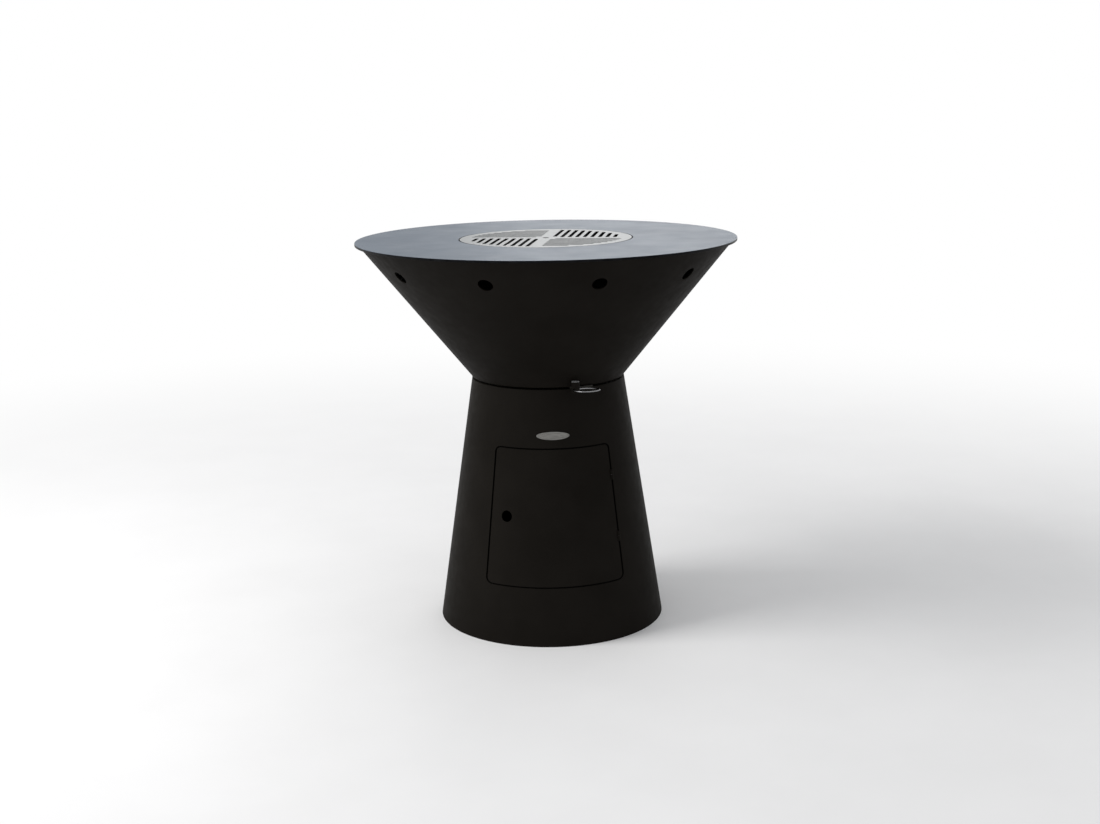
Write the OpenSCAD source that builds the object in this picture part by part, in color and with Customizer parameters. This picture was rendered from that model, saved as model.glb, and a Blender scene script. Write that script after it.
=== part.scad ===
// Plancha grill: a steel ring plate on a conical fire bowl, which stands on a
// conical pedestal with a curved door. The origin is on the ground, on the
// axis of the bowl. The door faces -Y.

/* [Cooking plate] */
// Diameter of the ring plate
plate_d = 1000; // [800:10:1200]
// Thickness of the ring plate
plate_t = 6; // [4:1:12]
// How far the plate reaches past the rim of the bowl
plate_overhang = 11; // [5:1:25]
// Diameter of the opening for the grill grate
grate_opening_d = 458; // [380:2:520]
// Chamfer that breaks the sharp edges of plate and grate
edge_break = 0.8; // [0.3:0.1:1.5]
// Width of a lug that carries the grill grate
rest_w = 40; // [25:1:60]
// Thickness of the lugs under the plate
lug_t = 4; // [3:0.5:6]
// How far a lug reaches under the grill grate
rest_lap = 14; // [8:1:22]
// How far a lug reaches under the plate, where it is welded
rest_weld = 26; // [15:1:50]
// Width of a locating lug
locator_w = 30; // [20:1:50]
// Height of a locating lug
locator_h = 22; // [12:1:35]
// Play between the locating lugs and the rim flange
locator_play = 3; // [1:0.5:6]

/* [Grill grate] */
// Gap between the grate and the edge of its opening
grate_gap = 3; // [1:0.5:5]
// Thickness of the grate
grate_t = 6; // [4:1:10]
// Turn of the slot fields
grate_turn = -10.5; // [-45:0.5:45]
// Width of a slot
slot_w = 10; // [6:0.5:13]
// Distance from slot to slot
slot_pitch = 20; // [16:1:30]
// Width of the solid cross between the slot fields
cross_w = 30; // [20:1:50]
// Width of the solid rim
grate_rim_w = 23; // [16:1:40]
// Diameter of the solid middle
grate_boss_d = 68; // [40:2:90]
// Diameter of the lifting hole
lift_hole_d = 18; // [10:1:30]

/* [Fire bowl] */
// Height of the bowl
bowl_h = 355; // [250:5:450]
// Outer diameter of the bowl's foot
bowl_foot_d = 406; // [360:2:480]
// Thickness of the bowl's sheet
bowl_sheet = 3; // [2:0.5:4]
// Number of air vents
vent_n = 10; // [6:1:14]
// Diameter of an air vent
vent_d = 38; // [20:1:50]
// Distance from the rim down to the middle of the vents
vent_drop = 61; // [45:1:100]
// Turn of the vents about the axis
vent_turn = -3.8; // [-18:0.1:18]
// Width of the flange inside the rim
rim_flange_w = 25; // [15:1:40]
// Thickness of the flange inside the rim
rim_flange_t = 4; // [3:0.5:6]
// Thickness of the bowl's floor
floor_t = 5; // [4:1:8]

/* [Ember grate] */
// Diameter of the ember grate
ember_d = 300; // [260:5:320]
// Thickness of the ember grate
ember_t = 8; // [6:1:12]
// Height of its feet
ember_foot_h = 22; // [16:1:40]
// Diameter of a foot
ember_foot_d = 16; // [10:1:20]
// Distance from the grate's edge in to a foot
ember_foot_in = 4; // [2:1:10]
// Width of its slots
ember_slot_w = 12; // [8:1:14]
// Distance from slot to slot
ember_slot_pitch = 22; // [20:1:30]
// Width of its solid rim
ember_rim_w = 18; // [14:1:30]
// Width of its solid middle rib
ember_rib_w = 16; // [10:1:24]

/* [Ash damper] */
// Number of ash openings
ash_n = 8; // [6:1:10]
// Inner radius of the ash openings
ash_in_r = 45; // [35:1:60]
// Outer radius of the ash openings
ash_out_r = 122; // [90:1:124]
// Angle that one ash opening spans
ash_angle = 21; // [10:1:22]
// Diameter of the damper disc
damper_d = 300; // [270:2:310]
// Thickness of the damper disc
damper_t = 4; // [3:0.5:5]
// Angle that the tongue spans in the shadow gap
tongue_angle = 17; // [8:1:20]
// How far the tongue reaches past the foot of the bowl
tongue_reach = 6; // [2:1:10]
// Width of the neck between tongue and post
neck_w = 9; // [6:1:10]
// Place of the post round the axis
post_angle = 14.8; // [8:0.1:18]
// Diameter of the post
post_d = 22; // [18:1:24]
// Height of the post
post_h = 28; // [20:1:30]
// How far the post reaches down past the tongue
post_drop = 5; // [3:1:8]
// Gap between the post's top and the bowl
post_gap = 2; // [1:0.5:8]
// Outer diameter of the wire ring
ring_d = 68; // [50:1:80]
// Diameter of the ring's wire
ring_wire = 4; // [3:0.5:5]
// Direction in which the ring stands off the post
ring_side = 46; // [30:1:60]
// How far the ring tips up at the front
ring_tilt = 4; // [0:1:6]

/* [Shadow gap and its bolts] */
// Height of the gap between pedestal and bowl
gap_h = 6; // [5:0.5:10]
// Number of bolts and spacers
bolt_n = 4; // [3:1:4]
// Diameter of the bolts
bolt_d = 10; // [8:1:12]
// Distance from the foot of the bowl in to the bolts
bolt_inset = 28; // [26:1:32]
// Diameter of a spacer
spacer_d = 30; // [24:1:34]
// Diameter of the damper's pivot bolt
pivot_d = 12; // [10:1:16]

/* [Pedestal] */
// Height of the pedestal
ped_h = 657; // [560:1:760]
// Outer diameter at the top of the pedestal
ped_top_d = 406; // [380:2:480]
// Outer diameter at the foot of the pedestal
ped_base_d = 606; // [520:2:700]
// Thickness of the pedestal's sheet
ped_sheet = 3; // [2:0.5:4]
// Width of the ring welded in the top
top_ring_w = 45; // [42:1:50]
// Thickness of the rings welded in the top and the foot
ring_plate_t = 5; // [4:1:8]
// Width of the ring welded in the foot
base_ring_w = 45; // [30:1:80]

/* [Door] */
// Height of the sill above the ground
door_sill = 150; // [120:1:200]
// Height of the door opening
door_h = 359; // [300:1:400]
// Half the angle that the door opening spans
door_half = 40.5; // [30:0.5:45]
// Gap round the door
door_gap = 4; // [2:0.5:5]
// Radius of the opening's corners
door_corner_r = 16; // [8:1:30]
// Diameter of the finger hole
finger_hole_d = 30; // [22:1:36]
// Height of the finger hole above the sill
finger_hole_up = 181; // [140:1:200]
// Distance from the edge of the opening in to the finger hole
finger_hole_in = 41; // [34:1:60]
// Height of the lower hinge above the sill
hinge_low = 114; // [60:1:130]
// Height of the upper hinge above the sill
hinge_high = 275; // [220:1:285]
// Length of a hinge
hinge_len = 26; // [20:1:40]
// Diameter of a hinge barrel
hinge_d = 9; // [8:0.5:12]
// Diameter of a hinge pin
hinge_pin_d = 5; // [4:0.5:6]
// How far the stop band reaches behind the door
band_lap = 10; // [6:1:14]
// How far the stop band reaches behind the shell
band_weld = 10; // [6:1:11]
// Thickness of the stop band
band_t = 2.5; // [2:0.5:4]
// Height of the lower magnet above the sill
magnet_low = 95; // [60:1:110]
// Height of the upper magnet above the sill
magnet_high = 265; // [220:1:300]
// Diameter of a magnet
magnet_d = 14; // [10:1:16]
// Length of a magnet
magnet_len = 9; // [8:1:12]

/* [Oval plate] */
// Width of the oval plate
oval_w = 85; // [60:1:120]
// Height of the oval plate
oval_h = 20.5; // [16:0.5:40]
// Thickness of the oval plate
oval_t = 1.5; // [1:0.5:3]
// Width of its raised border
oval_border = 2; // [1:0.5:3]
// Height of its raised border
oval_raise = 0.4; // [0.2:0.1:0.7]
// Distance from the door opening up to the middle of the oval plate
oval_up = 32; // [28:1:60]

/* [Cabinet] */
// Distance from the sill down to the top of the shelf
shelf_drop = 12; // [12:1:30]
// Thickness of the shelf
shelf_t = 3; // [2:0.5:5]
// Width of a shelf bracket
bracket_w = 30; // [20:1:40]
// Length of a bracket's level leg
bracket_reach = 35; // [25:1:60]
// Height of a bracket's upright leg
bracket_h = 30; // [20:1:50]
// Thickness of a bracket
bracket_t = 3; // [2:0.5:5]

/* [Ash bin] */
// Diameter of the bin at its rim
bin_d = 236; // [200:2:250]
// Diameter of the bin at its base
bin_base_d = 196; // [160:2:210]
// Height of the bin
bin_h = 230; // [160:5:260]
// Thickness of the bin's sheet
bin_sheet = 1.2; // [0.8:0.2:2]
// Thickness of the rolled bead at its rim
bin_bead = 5; // [4:0.5:7]
// Distance from the bin's rim down to its ears
ear_drop = 20; // [15:1:40]
// Diameter of an ear
ear_d = 18; // [14:1:24]
// How far an ear stands out
ear_out = 8; // [7:0.5:12]
// Diameter of the handle's wire
handle_wire = 6; // [5:0.5:8]
// How far the handle's ends reach into the ears
handle_pin_in = 5; // [4:0.5:6]

/* [Hidden] */

$fn = 180;
small_fn = 48;

// Colours
black_paint = [0.09, 0.09, 0.095];
plate_steel = [0.63, 0.66, 0.69];
stainless = [0.80, 0.81, 0.82];
bare_steel = [0.50, 0.50, 0.51];
cast_iron = [0.20, 0.20, 0.21];
zinc = [0.70, 0.71, 0.72];

// Clearances: between welded pieces, between parts that move, round a shaft,
// under a loose piece that lies flat, and cutting excess
seat = 0.2;
play = 0.3;
shaft_play = 0.1;
lie_play = 0.05;
cut = 1;

// Heights
bowl_z = ped_h + gap_h;
floor_top = bowl_z + floor_t;
rim_z = bowl_z + bowl_h;
damper_z = bowl_z - seat - damper_t;
ember_z = floor_top + ember_foot_h;
door_top = door_sill + door_h;
shelf_top = door_sill - shelf_drop;
ear_z = shelf_top + bin_h - ear_drop;
vent_z = rim_z - vent_drop;

// The two cones, and their wall measured level
foot_r = bowl_foot_d / 2;
bowl_rim_d = plate_d - 2 * plate_overhang;
ped_lean = atan((ped_base_d - ped_top_d) / 2 / ped_h);
bowl_lean = atan((bowl_rim_d - bowl_foot_d) / 2 / bowl_h);
ped_wall = ped_sheet / cos(ped_lean);
bowl_wall = bowl_sheet / cos(bowl_lean);
function ped_r(z) = ped_base_d / 2 - z * tan(ped_lean);
function ped_in(z) = ped_r(z) - ped_wall;
function bowl_r(z) = foot_r + (z - bowl_z) * tan(bowl_lean);
function bowl_in(z) = bowl_r(z) - bowl_wall;

// Cooking top
grate_d = grate_opening_d - 2 * grate_gap;
slot_field_r = grate_d / 2 - grate_rim_w;
rim_flange_in = bowl_in(rim_z) - seat - rim_flange_w;
locator_r = rim_flange_in - locator_play;

// Damper and bolts
damper_turn = 180 / ash_n;
post_z = damper_z - post_drop;
post_r = bowl_r(post_z + post_h) + post_gap + post_d / 2;
neck_angle = 2 * asin(neck_w / 2 / foot_r);
ring_r = (ring_d - ring_wire) / 2;
ring_sag = ring_r - sqrt(ring_r * ring_r - post_d * post_d / 4);
bolt_r = foot_r - bolt_inset;
bolt_hole_d = bolt_d + 1;
bolt_head_w = 1.6 * bolt_d;
bolt_head_h = 0.64 * bolt_d;
washer_t = 2;
nut_h = 0.8 * bolt_d;
pivot_head_w = 1.5 * pivot_d;
pivot_washer_t = 2.5;
pivot_spring_h = 1.8;
pivot_spring_t = 1;
pivot_washer_z = damper_z - seat - pivot_washer_t;
pivot_spring_z = pivot_washer_z - pivot_spring_h;
pivot_nut_h = 0.85 * pivot_d;
pivot_nut_z = pivot_spring_z - pivot_nut_h;
thread_out = 4;

// Door: its sides follow the cone's own lines, so they slope when seen from the front
side_slope = atan(tan(ped_lean) * sin(door_half));
corner_steps = 10;
door_mid_z = door_sill + door_h / 2;
hinge_angle = asin(sin(door_half) - door_gap / 2 / cos(side_slope) / ped_r(door_mid_z));
hinge_heights = [door_sill + hinge_low, door_sill + hinge_high];
magnet_heights = [door_sill + magnet_low, door_sill + magnet_high];
band_depth = ped_wall + play;
bracket_depth = band_depth + band_t + seat;
bracket_lap = 8;
bracket_out = 22;
magnet_bracket_h = 40;
finger_z = door_sill + finger_hole_up;
finger_angle = -asin((door_x(finger_z, 0) - finger_hole_in) / ped_r(finger_z));
function band_edge(z) = door_x(z, door_gap + band_lap);
function magnet_angle(z) = -asin((band_edge(z) - bracket_out / 2) / ped_r(z));
function door_x(z, inset) = ped_r(z) * sin(door_half) - inset / cos(side_slope);
function arc(c, r, a0, a1) = [
    for (k = [0:corner_steps])
        let (a = a0 + (a1 - a0) * k / corner_steps)
        [c[0] + r * cos(a), c[1] + r * sin(a)]
];
function door_outline(inset) =
    let (
        r = max(door_corner_r - inset, 2),
        low = door_sill + inset + r,
        high = door_top - inset - r,
        x_low = door_x(low, inset + r),
        x_high = door_x(high, inset + r)
    )
    concat(
        arc([x_low, low], r, -90, side_slope),
        arc([x_high, high], r, side_slope, 90),
        arc([-x_high, high], r, 90, 180 - side_slope),
        arc([-x_low, low], r, 180 - side_slope, 270)
    );

// Oval plate
oval_z = door_top + oval_up;
oval_steps = 72;
function ellipse(w, h) = [
    for (k = [0:oval_steps - 1])
        let (a = 360 * k / oval_steps)
        [w / 2 * cos(a), h / 2 * sin(a)]
];

// Ash bin: its handle hangs until the wire meets the bin
bin_taper = atan((bin_d - bin_base_d) / 2 / bin_h);
function bin_r(z) = bin_base_d / 2 + (z - shelf_top) * tan(bin_taper);
ear_tip = bin_r(ear_z) + seat + ear_out;
handle_gap = 2;
handle_r = ear_tip + handle_gap + handle_wire / 2;
handle_pin_d = handle_wire - 2 * seat;
handle_drop = bin_taper
    + acos((bin_r(ear_z) * cos(bin_taper) + handle_wire / 2 + 2 * play) / handle_r);

// Puts its children at an angle round the axis, 0 being the front
module around(angle, r, z) {
    rotate([0, 0, angle]) translate([0, -r, z]) children();
}

// Repeats its children round the axis
module ring_of(n, start = 0) {
    for (i = [0:n - 1]) rotate([0, 0, start + i * 360 / n]) children();
}

// Flat ring whose edge follows a cone from r0 at z0 to r1 at z1
module edged_ring(in_r, z0, r0, z1, r1) {
    rotate_extrude() polygon([[in_r, z0], [r0, z0], [r1, z1], [in_r, z1]]);
}

// Disc or ring with its upper edges broken
module broken_disc(in_r, out_r, z, t) {
    e = edge_break;
    hole_edge = in_r > 0 ? [[in_r + e, z + t], [in_r, z + t - e]] : [[0, z + t]];
    rotate_extrude() polygon(concat(
        [[in_r, z], [out_r, z], [out_r, z + t - e], [out_r - e, z + t]],
        hole_edge
    ));
}

// Slot along Y, with round ends, cut through from z
module slot(x, y0, y1, w, z, t) {
    translate([x - w / 2, y0 + w / 2, z - cut]) cube([w, y1 - y0 - w, t + 2 * cut]);
    for (y = [y0 + w / 2, y1 - w / 2])
        translate([x, y, z - cut]) cylinder(h = t + 2 * cut, d = w, $fn = small_fn);
}

// Layer of the pedestal's cone, from a depth below its outer face
module ped_layer(depth, t, z0, z1) {
    rotate_extrude() polygon([
        [ped_r(z0) - depth - t, z0], [ped_r(z0) - depth, z0],
        [ped_r(z1) - depth, z1], [ped_r(z1) - depth - t, z1]
    ]);
}

// Extrudes an outline drawn in X and Z out through the front of the pedestal
module to_front() {
    rotate([90, 0, 0]) linear_extrude(height = ped_base_d / 2 + 20 * cut) children();
}

module door_prism(inset) {
    to_front() polygon(door_outline(inset));
}

// Cylinder on the hinge axis, from one height to another measured along it
module hinge_cylinder(z, from, to, d) {
    around(hinge_angle, ped_r(z), z)
        rotate([-ped_lean, 0, 0])
            translate([0, 0, from]) cylinder(h = to - from, d = d, $fn = small_fn);
}

// Clearance round the hinge barrels
module hinge_notches() {
    for (z = hinge_heights)
        hinge_cylinder(z, -hinge_len / 2 - play, hinge_len / 2 + play, hinge_d + 2 * play);
}

module hex(w, h) {
    cylinder(h = h, d = w / cos(30), $fn = 6);
}

module washer(out_d, in_d, h) {
    difference() {
        cylinder(h = h, d = out_d, $fn = small_fn);
        translate([0, 0, -cut]) cylinder(h = h + 2 * cut, d = in_d, $fn = small_fn);
    }
}

module at_bolts(z) {
    ring_of(bolt_n, 180 / bolt_n) translate([0, -bolt_r, z]) children();
}

// Ash openings through a plate that starts at z
module ash_openings(z, t) {
    ring_of(ash_n, -90 - ash_angle / 2)
        rotate_extrude(angle = ash_angle)
            translate([ash_in_r, z - cut]) square([ash_out_r - ash_in_r, t + 2 * cut]);
}

// Cooking top

module plancha_plate() {
    color(plate_steel) broken_disc(grate_opening_d / 2, plate_d / 2, rim_z, plate_t);
}

module grate_rests() {
    color(bare_steel) ring_of(4, 45)
        translate([-rest_w / 2, -(grate_opening_d / 2 + rest_weld), rim_z - lie_play - lug_t])
            cube([rest_w, rest_weld + grate_gap + rest_lap, lug_t]);
}

module plate_locators() {
    face = sqrt(locator_r * locator_r - locator_w * locator_w / 4);
    color(bare_steel) ring_of(4)
        translate([-locator_w / 2, -face, rim_z - locator_h])
            cube([locator_w, lug_t, locator_h]);
}

// The slots of a field lie side by side and end on the round rim and the round middle
module slot_field() {
    first = cross_w / 2 + slot_w / 2;
    for (k = [0:floor((slot_field_r - first) / slot_pitch)]) {
        x = first + k * slot_pitch;
        side = x + slot_w / 2;
        inner = max(cross_w / 2, sqrt(max(pow(grate_boss_d / 2, 2) - x * x, 0)));
        outer = sqrt(max(pow(slot_field_r, 2) - side * side, 0));
        if (outer - inner > 1.5 * slot_w) slot(x, inner, outer, slot_w, rim_z, grate_t);
    }
}

module grill_grate() {
    color(stainless) rotate([0, 0, grate_turn]) difference() {
        broken_disc(0, grate_d / 2, rim_z, grate_t);
        ring_of(4) slot_field();
        translate([0, 0, rim_z - cut]) cylinder(h = grate_t + 2 * cut, d = lift_hole_d, $fn = small_fn);
    }
}

// Fire bowl

module fire_bowl() {
    color(black_paint) difference() {
        rotate_extrude() polygon([
            [bowl_in(bowl_z), bowl_z], [bowl_r(bowl_z), bowl_z],
            [bowl_r(rim_z), rim_z], [bowl_in(rim_z), rim_z]
        ]);
        ring_of(vent_n, vent_turn + 180 / vent_n)
            translate([0, -bowl_r(vent_z), vent_z]) rotate([90 + bowl_lean, 0, 0])
                cylinder(h = 8 * bowl_sheet, d = vent_d, center = true, $fn = small_fn);
    }
}

module bowl_rim_flange() {
    low = rim_z - rim_flange_t;
    color(black_paint)
        edged_ring(rim_flange_in, low, bowl_in(low) - seat, rim_z, bowl_in(rim_z) - seat);
}

module bowl_floor() {
    color(black_paint) difference() {
        edged_ring(0, bowl_z, bowl_in(bowl_z) - seat, floor_top, bowl_in(floor_top) - seat);
        ash_openings(bowl_z, floor_t);
        translate([0, 0, bowl_z - cut])
            cylinder(h = floor_t + 2 * cut, d = pivot_d + 2 * shaft_play, $fn = small_fn);
        at_bolts(bowl_z - cut) cylinder(h = floor_t + 2 * cut, d = bolt_hole_d, $fn = small_fn);
    }
}

module ember_grate() {
    field_r = ember_d / 2 - ember_rim_w;
    last = floor((field_r - ember_slot_w) / ember_slot_pitch);
    foot_place = ember_d / 2 - ember_foot_d / 2 - ember_foot_in;
    color(cast_iron) union() {
        difference() {
            translate([0, 0, ember_z]) cylinder(h = ember_t, d = ember_d);
            for (k = [-last:last], side = [0, 180]) {
                x = k * ember_slot_pitch;
                edge = abs(x) + ember_slot_w / 2;
                rotate([0, 0, side])
                    slot(x, ember_rib_w / 2, sqrt(field_r * field_r - edge * edge),
                        ember_slot_w, ember_z, ember_t);
            }
        }
        ring_of(4) translate([0, -foot_place, floor_top])
            cylinder(h = ember_foot_h, d = ember_foot_d, $fn = small_fn);
    }
}

// Ash damper

// The tongue starts beside the post and fills the shadow gap to its right
module damper_disc() {
    tongue_root = damper_d / 2 - 10;
    color(black_paint) difference() {
        union() {
            translate([0, 0, damper_z]) cylinder(h = damper_t, d = damper_d);
            rotate([0, 0, post_angle - neck_angle / 2 - 90]) rotate_extrude(angle = tongue_angle)
                translate([tongue_root, damper_z])
                    square([foot_r + tongue_reach - tongue_root, damper_t]);
            around(post_angle, post_r, damper_z)
                translate([-neck_w / 2, 0, 0]) cube([neck_w, post_r - foot_r, damper_t]);
        }
        rotate([0, 0, damper_turn]) ash_openings(damper_z, damper_t);
        translate([0, 0, damper_z - cut])
            cylinder(h = damper_t + 2 * cut, d = pivot_d + 2 * shaft_play, $fn = small_fn);
        around(post_angle, post_r, damper_z - cut)
            cylinder(h = damper_t + 2 * cut, d = post_d + 2 * shaft_play, $fn = small_fn);
    }
}

// Puts its children in the middle of the post, with -Y towards the middle of the wire ring
module at_ring() {
    around(post_angle, post_r, damper_z + damper_t / 2)
        rotate([-ring_tilt, 0, 0]) rotate([0, 0, ring_side]) children();
}

// Round post with a cross hole, wide enough for the curve of the wire
module damper_post() {
    r = post_d / 2;
    color(black_paint) difference() {
        around(post_angle, post_r, post_z) rotate_extrude($fn = small_fn) polygon([
            [0, 0], [r, 0], [r, post_h - edge_break], [r - edge_break, post_h], [0, post_h]
        ]);
        at_ring() translate([-post_d, -ring_sag / 2, 0]) rotate([0, 90, 0])
            cylinder(h = 2 * post_d, d = ring_wire + ring_sag + 2 * play, $fn = small_fn);
    }
}

module damper_ring() {
    color(stainless) at_ring() translate([0, -ring_r, 0])
        rotate_extrude($fn = 96) translate([ring_r, 0]) circle(d = ring_wire, $fn = 32);
}

module pivot_bolt() {
    color(zinc) union() {
        translate([0, 0, floor_top]) hex(pivot_head_w, 0.62 * pivot_d);
        translate([0, 0, pivot_nut_z - thread_out])
            cylinder(h = floor_top - pivot_nut_z + thread_out + cut, d = pivot_d, $fn = small_fn);
    }
}

module pivot_washer() {
    color(zinc) translate([0, 0, pivot_washer_z])
        washer(2 * pivot_d, pivot_d + 2 * seat, pivot_washer_t);
}

module pivot_spring() {
    in_r = pivot_d / 2 + seat;
    out_r = pivot_d - 0.5;
    rise = pivot_spring_h - pivot_spring_t;
    color(bare_steel) translate([0, 0, pivot_spring_z]) rotate_extrude($fn = small_fn)
        polygon([[in_r, 0], [out_r, rise], [out_r, pivot_spring_h], [in_r, pivot_spring_t]]);
}

module pivot_nut() {
    color(zinc) translate([0, 0, pivot_nut_z]) difference() {
        hex(pivot_head_w, pivot_nut_h);
        translate([0, 0, -cut]) cylinder(h = pivot_nut_h + 2 * cut, d = pivot_d + seat, $fn = small_fn);
    }
}

// Joint between bowl and pedestal

module bowl_spacers() {
    color(black_paint) at_bolts(ped_h) washer(spacer_d, bolt_hole_d, gap_h);
}

module bowl_bolts() {
    shank = floor_t + gap_h + ring_plate_t + washer_t + nut_h + thread_out;
    color(zinc) at_bolts(floor_top) union() {
        hex(bolt_head_w, bolt_head_h);
        translate([0, 0, -shank]) cylinder(h = shank + cut, d = bolt_d, $fn = small_fn);
    }
}

module bowl_washers() {
    color(zinc) at_bolts(ped_h - ring_plate_t - washer_t)
        washer(2 * bolt_d, bolt_d + 2 * seat, washer_t);
}

module bowl_nuts() {
    color(zinc) at_bolts(ped_h - ring_plate_t - washer_t - nut_h) difference() {
        hex(bolt_head_w, nut_h);
        translate([0, 0, -cut]) cylinder(h = nut_h + 2 * cut, d = bolt_d + seat, $fn = small_fn);
    }
}

// Pedestal

module pedestal_shell() {
    color(black_paint) difference() {
        ped_layer(0, ped_wall, 0, ped_h);
        door_prism(0);
        hinge_notches();
    }
}

module pedestal_top_ring() {
    low = ped_h - ring_plate_t;
    color(black_paint) difference() {
        edged_ring(ped_in(ped_h) - seat - top_ring_w, low, ped_in(low) - seat, ped_h, ped_in(ped_h) - seat);
        at_bolts(low - cut) cylinder(h = ring_plate_t + 2 * cut, d = bolt_hole_d, $fn = small_fn);
    }
}

module pedestal_base_ring() {
    high = ring_plate_t;
    color(black_paint)
        edged_ring(ped_in(0) - base_ring_w, 0, ped_in(0) - seat, high, ped_in(high) - seat);
}

module cabinet_shelf() {
    low = shelf_top - shelf_t;
    color(black_paint) edged_ring(0, low, ped_in(low) - play, shelf_top, ped_in(shelf_top) - play);
}

// Angle brackets: the upright leg leans with the shell
module shelf_brackets() {
    under = shelf_top - shelf_t;
    leg_r = sqrt(pow(ped_in(under) - play, 2) - bracket_w * bracket_w / 4);
    color(black_paint) ring_of(4, 45) translate([-bracket_w / 2, -leg_r, under]) union() {
        translate([0, 0, -bracket_t]) cube([bracket_w, bracket_reach, bracket_t]);
        intersection() {
            rotate([-ped_lean, 0, 0]) translate([0, 0, -bracket_h])
                cube([bracket_w, bracket_t, bracket_h + bracket_t]);
            translate([0, -bracket_h, -bracket_h]) cube([bracket_w, 2 * bracket_h, bracket_h]);
        }
    }
}

// Band behind the edge of the opening, against which the door closes
module door_frame() {
    color(black_paint) difference() {
        intersection() {
            ped_layer(band_depth, band_t, door_sill - band_weld - cut, door_top + band_weld + cut);
            door_prism(-band_weld);
        }
        door_prism(door_gap + band_lap);
        hinge_notches();
    }
}

module oval_plate() {
    half = oval_h / 2 + cut;
    color(stainless) difference() {
        intersection() {
            ped_layer(-oval_t - seat, oval_t, oval_z - half, oval_z + half);
            to_front() translate([0, oval_z]) polygon(ellipse(oval_w, oval_h));
        }
        intersection() {
            ped_layer(-oval_t - cut, cut - seat + oval_raise, oval_z - half, oval_z + half);
            to_front() translate([0, oval_z])
                polygon(ellipse(oval_w - 2 * oval_border, oval_h - 2 * oval_border));
        }
    }
}

// Door

module door_panel() {
    color(black_paint) difference() {
        intersection() {
            ped_layer(0, ped_wall, door_sill, door_top);
            door_prism(door_gap);
        }
        around(finger_angle, ped_r(finger_z), finger_z) rotate([90 - ped_lean, 0, 0])
            cylinder(h = 6 * ped_sheet, d = finger_hole_d, center = true, $fn = small_fn);
        hinge_notches();
    }
}

// A tube on the hinge axis
module knuckle(z, from, to, bore) {
    difference() {
        hinge_cylinder(z, from, to, hinge_d);
        hinge_cylinder(z, from - cut, to + cut, bore);
    }
}

module door_hinge_knuckles() {
    color(black_paint) for (z = hinge_heights)
        knuckle(z, play / 2, hinge_len / 2, hinge_pin_d + 2 * shaft_play);
}

module frame_hinge_knuckles() {
    color(black_paint) for (z = hinge_heights)
        knuckle(z, -hinge_len / 2, -play / 2, hinge_pin_d + shaft_play);
}

module hinge_pins() {
    pin_short = 1;
    color(zinc) for (z = hinge_heights)
        hinge_cylinder(z, pin_short - hinge_len / 2, hinge_len / 2 - pin_short, hinge_pin_d);
}

// Plates behind the free side of the stop band; the magnets sit in their holes
module at_magnet(z) {
    around(magnet_angle(z), ped_r(z), z) rotate([90 - ped_lean, 0, 0])
        translate([0, 0, -ped_sheet - play - magnet_len]) children();
}

module magnet_brackets() {
    color(bare_steel) for (z = magnet_heights) difference() {
        intersection() {
            ped_layer(bracket_depth, band_t, z - magnet_bracket_h / 2, z + magnet_bracket_h / 2);
            translate([-band_edge(z) - bracket_lap, -ped_base_d / 2, z - magnet_bracket_h])
                cube([bracket_lap + bracket_out, ped_base_d / 2, 2 * magnet_bracket_h]);
        }
        at_magnet(z) translate([0, 0, -cut])
            cylinder(h = magnet_len + 2 * cut, d = magnet_d + 2 * shaft_play, $fn = small_fn);
    }
}

module door_magnets() {
    color(zinc) for (z = magnet_heights)
        at_magnet(z) cylinder(h = magnet_len, d = magnet_d, $fn = small_fn);
}

// Ash bin

module ash_bin() {
    top = shelf_top + bin_h;
    color(zinc) rotate_extrude() union() {
        polygon([
            [0, shelf_top], [bin_r(shelf_top), shelf_top], [bin_r(top), top], [bin_r(top) - bin_sheet, top],
            [bin_r(shelf_top) - bin_sheet, shelf_top + bin_sheet], [0, shelf_top + bin_sheet]
        ]);
        translate([bin_r(top), top]) circle(d = bin_bead, $fn = 32);
    }
}

// Round ears on both sides, their inner ends cut to the bin's slope
module bin_ears() {
    color(zinc) for (side = [0, 180]) difference() {
        rotate([0, 0, side]) translate([0, 0, ear_z]) rotate([0, 90, 0])
            cylinder(h = ear_tip, d = ear_d, $fn = small_fn);
        rotate_extrude() polygon([
            [0, shelf_top], [bin_r(shelf_top) + seat, shelf_top],
            [bin_r(shelf_top + bin_h) + seat, shelf_top + bin_h], [0, shelf_top + bin_h]
        ]);
        rotate([0, 0, side]) translate([ear_tip - handle_pin_in - 1, 0, ear_z]) rotate([0, 90, 0])
            cylinder(h = ear_out + cut, d = handle_pin_d + 2 * shaft_play, $fn = small_fn);
    }
}

module bin_handle() {
    color(zinc) translate([0, 0, ear_z]) rotate([handle_drop, 0, 0]) union() {
        rotate([0, 0, 180]) rotate_extrude(angle = 180)
            translate([handle_r, 0]) circle(d = handle_wire, $fn = 32);
        for (side = [0, 180]) rotate([0, 0, side])
            translate([ear_tip - handle_pin_in, 0, 0]) rotate([0, 90, 0])
                cylinder(h = handle_r + handle_wire / 2 - ear_tip + handle_pin_in, d = handle_pin_d,
                    $fn = small_fn);
    }
}

plancha_plate();
grate_rests();
plate_locators();
grill_grate();
fire_bowl();
bowl_rim_flange();
bowl_floor();
ember_grate();
damper_disc();
damper_post();
damper_ring();
pivot_bolt();
pivot_washer();
pivot_spring();
pivot_nut();
bowl_spacers();
bowl_bolts();
bowl_washers();
bowl_nuts();
pedestal_shell();
pedestal_top_ring();
pedestal_base_ring();
cabinet_shelf();
shelf_brackets();
door_frame();
oval_plate();
door_panel();
door_hinge_knuckles();
frame_hinge_knuckles();
hinge_pins();
magnet_brackets();
door_magnets();
ash_bin();
bin_ears();
bin_handle();
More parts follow.
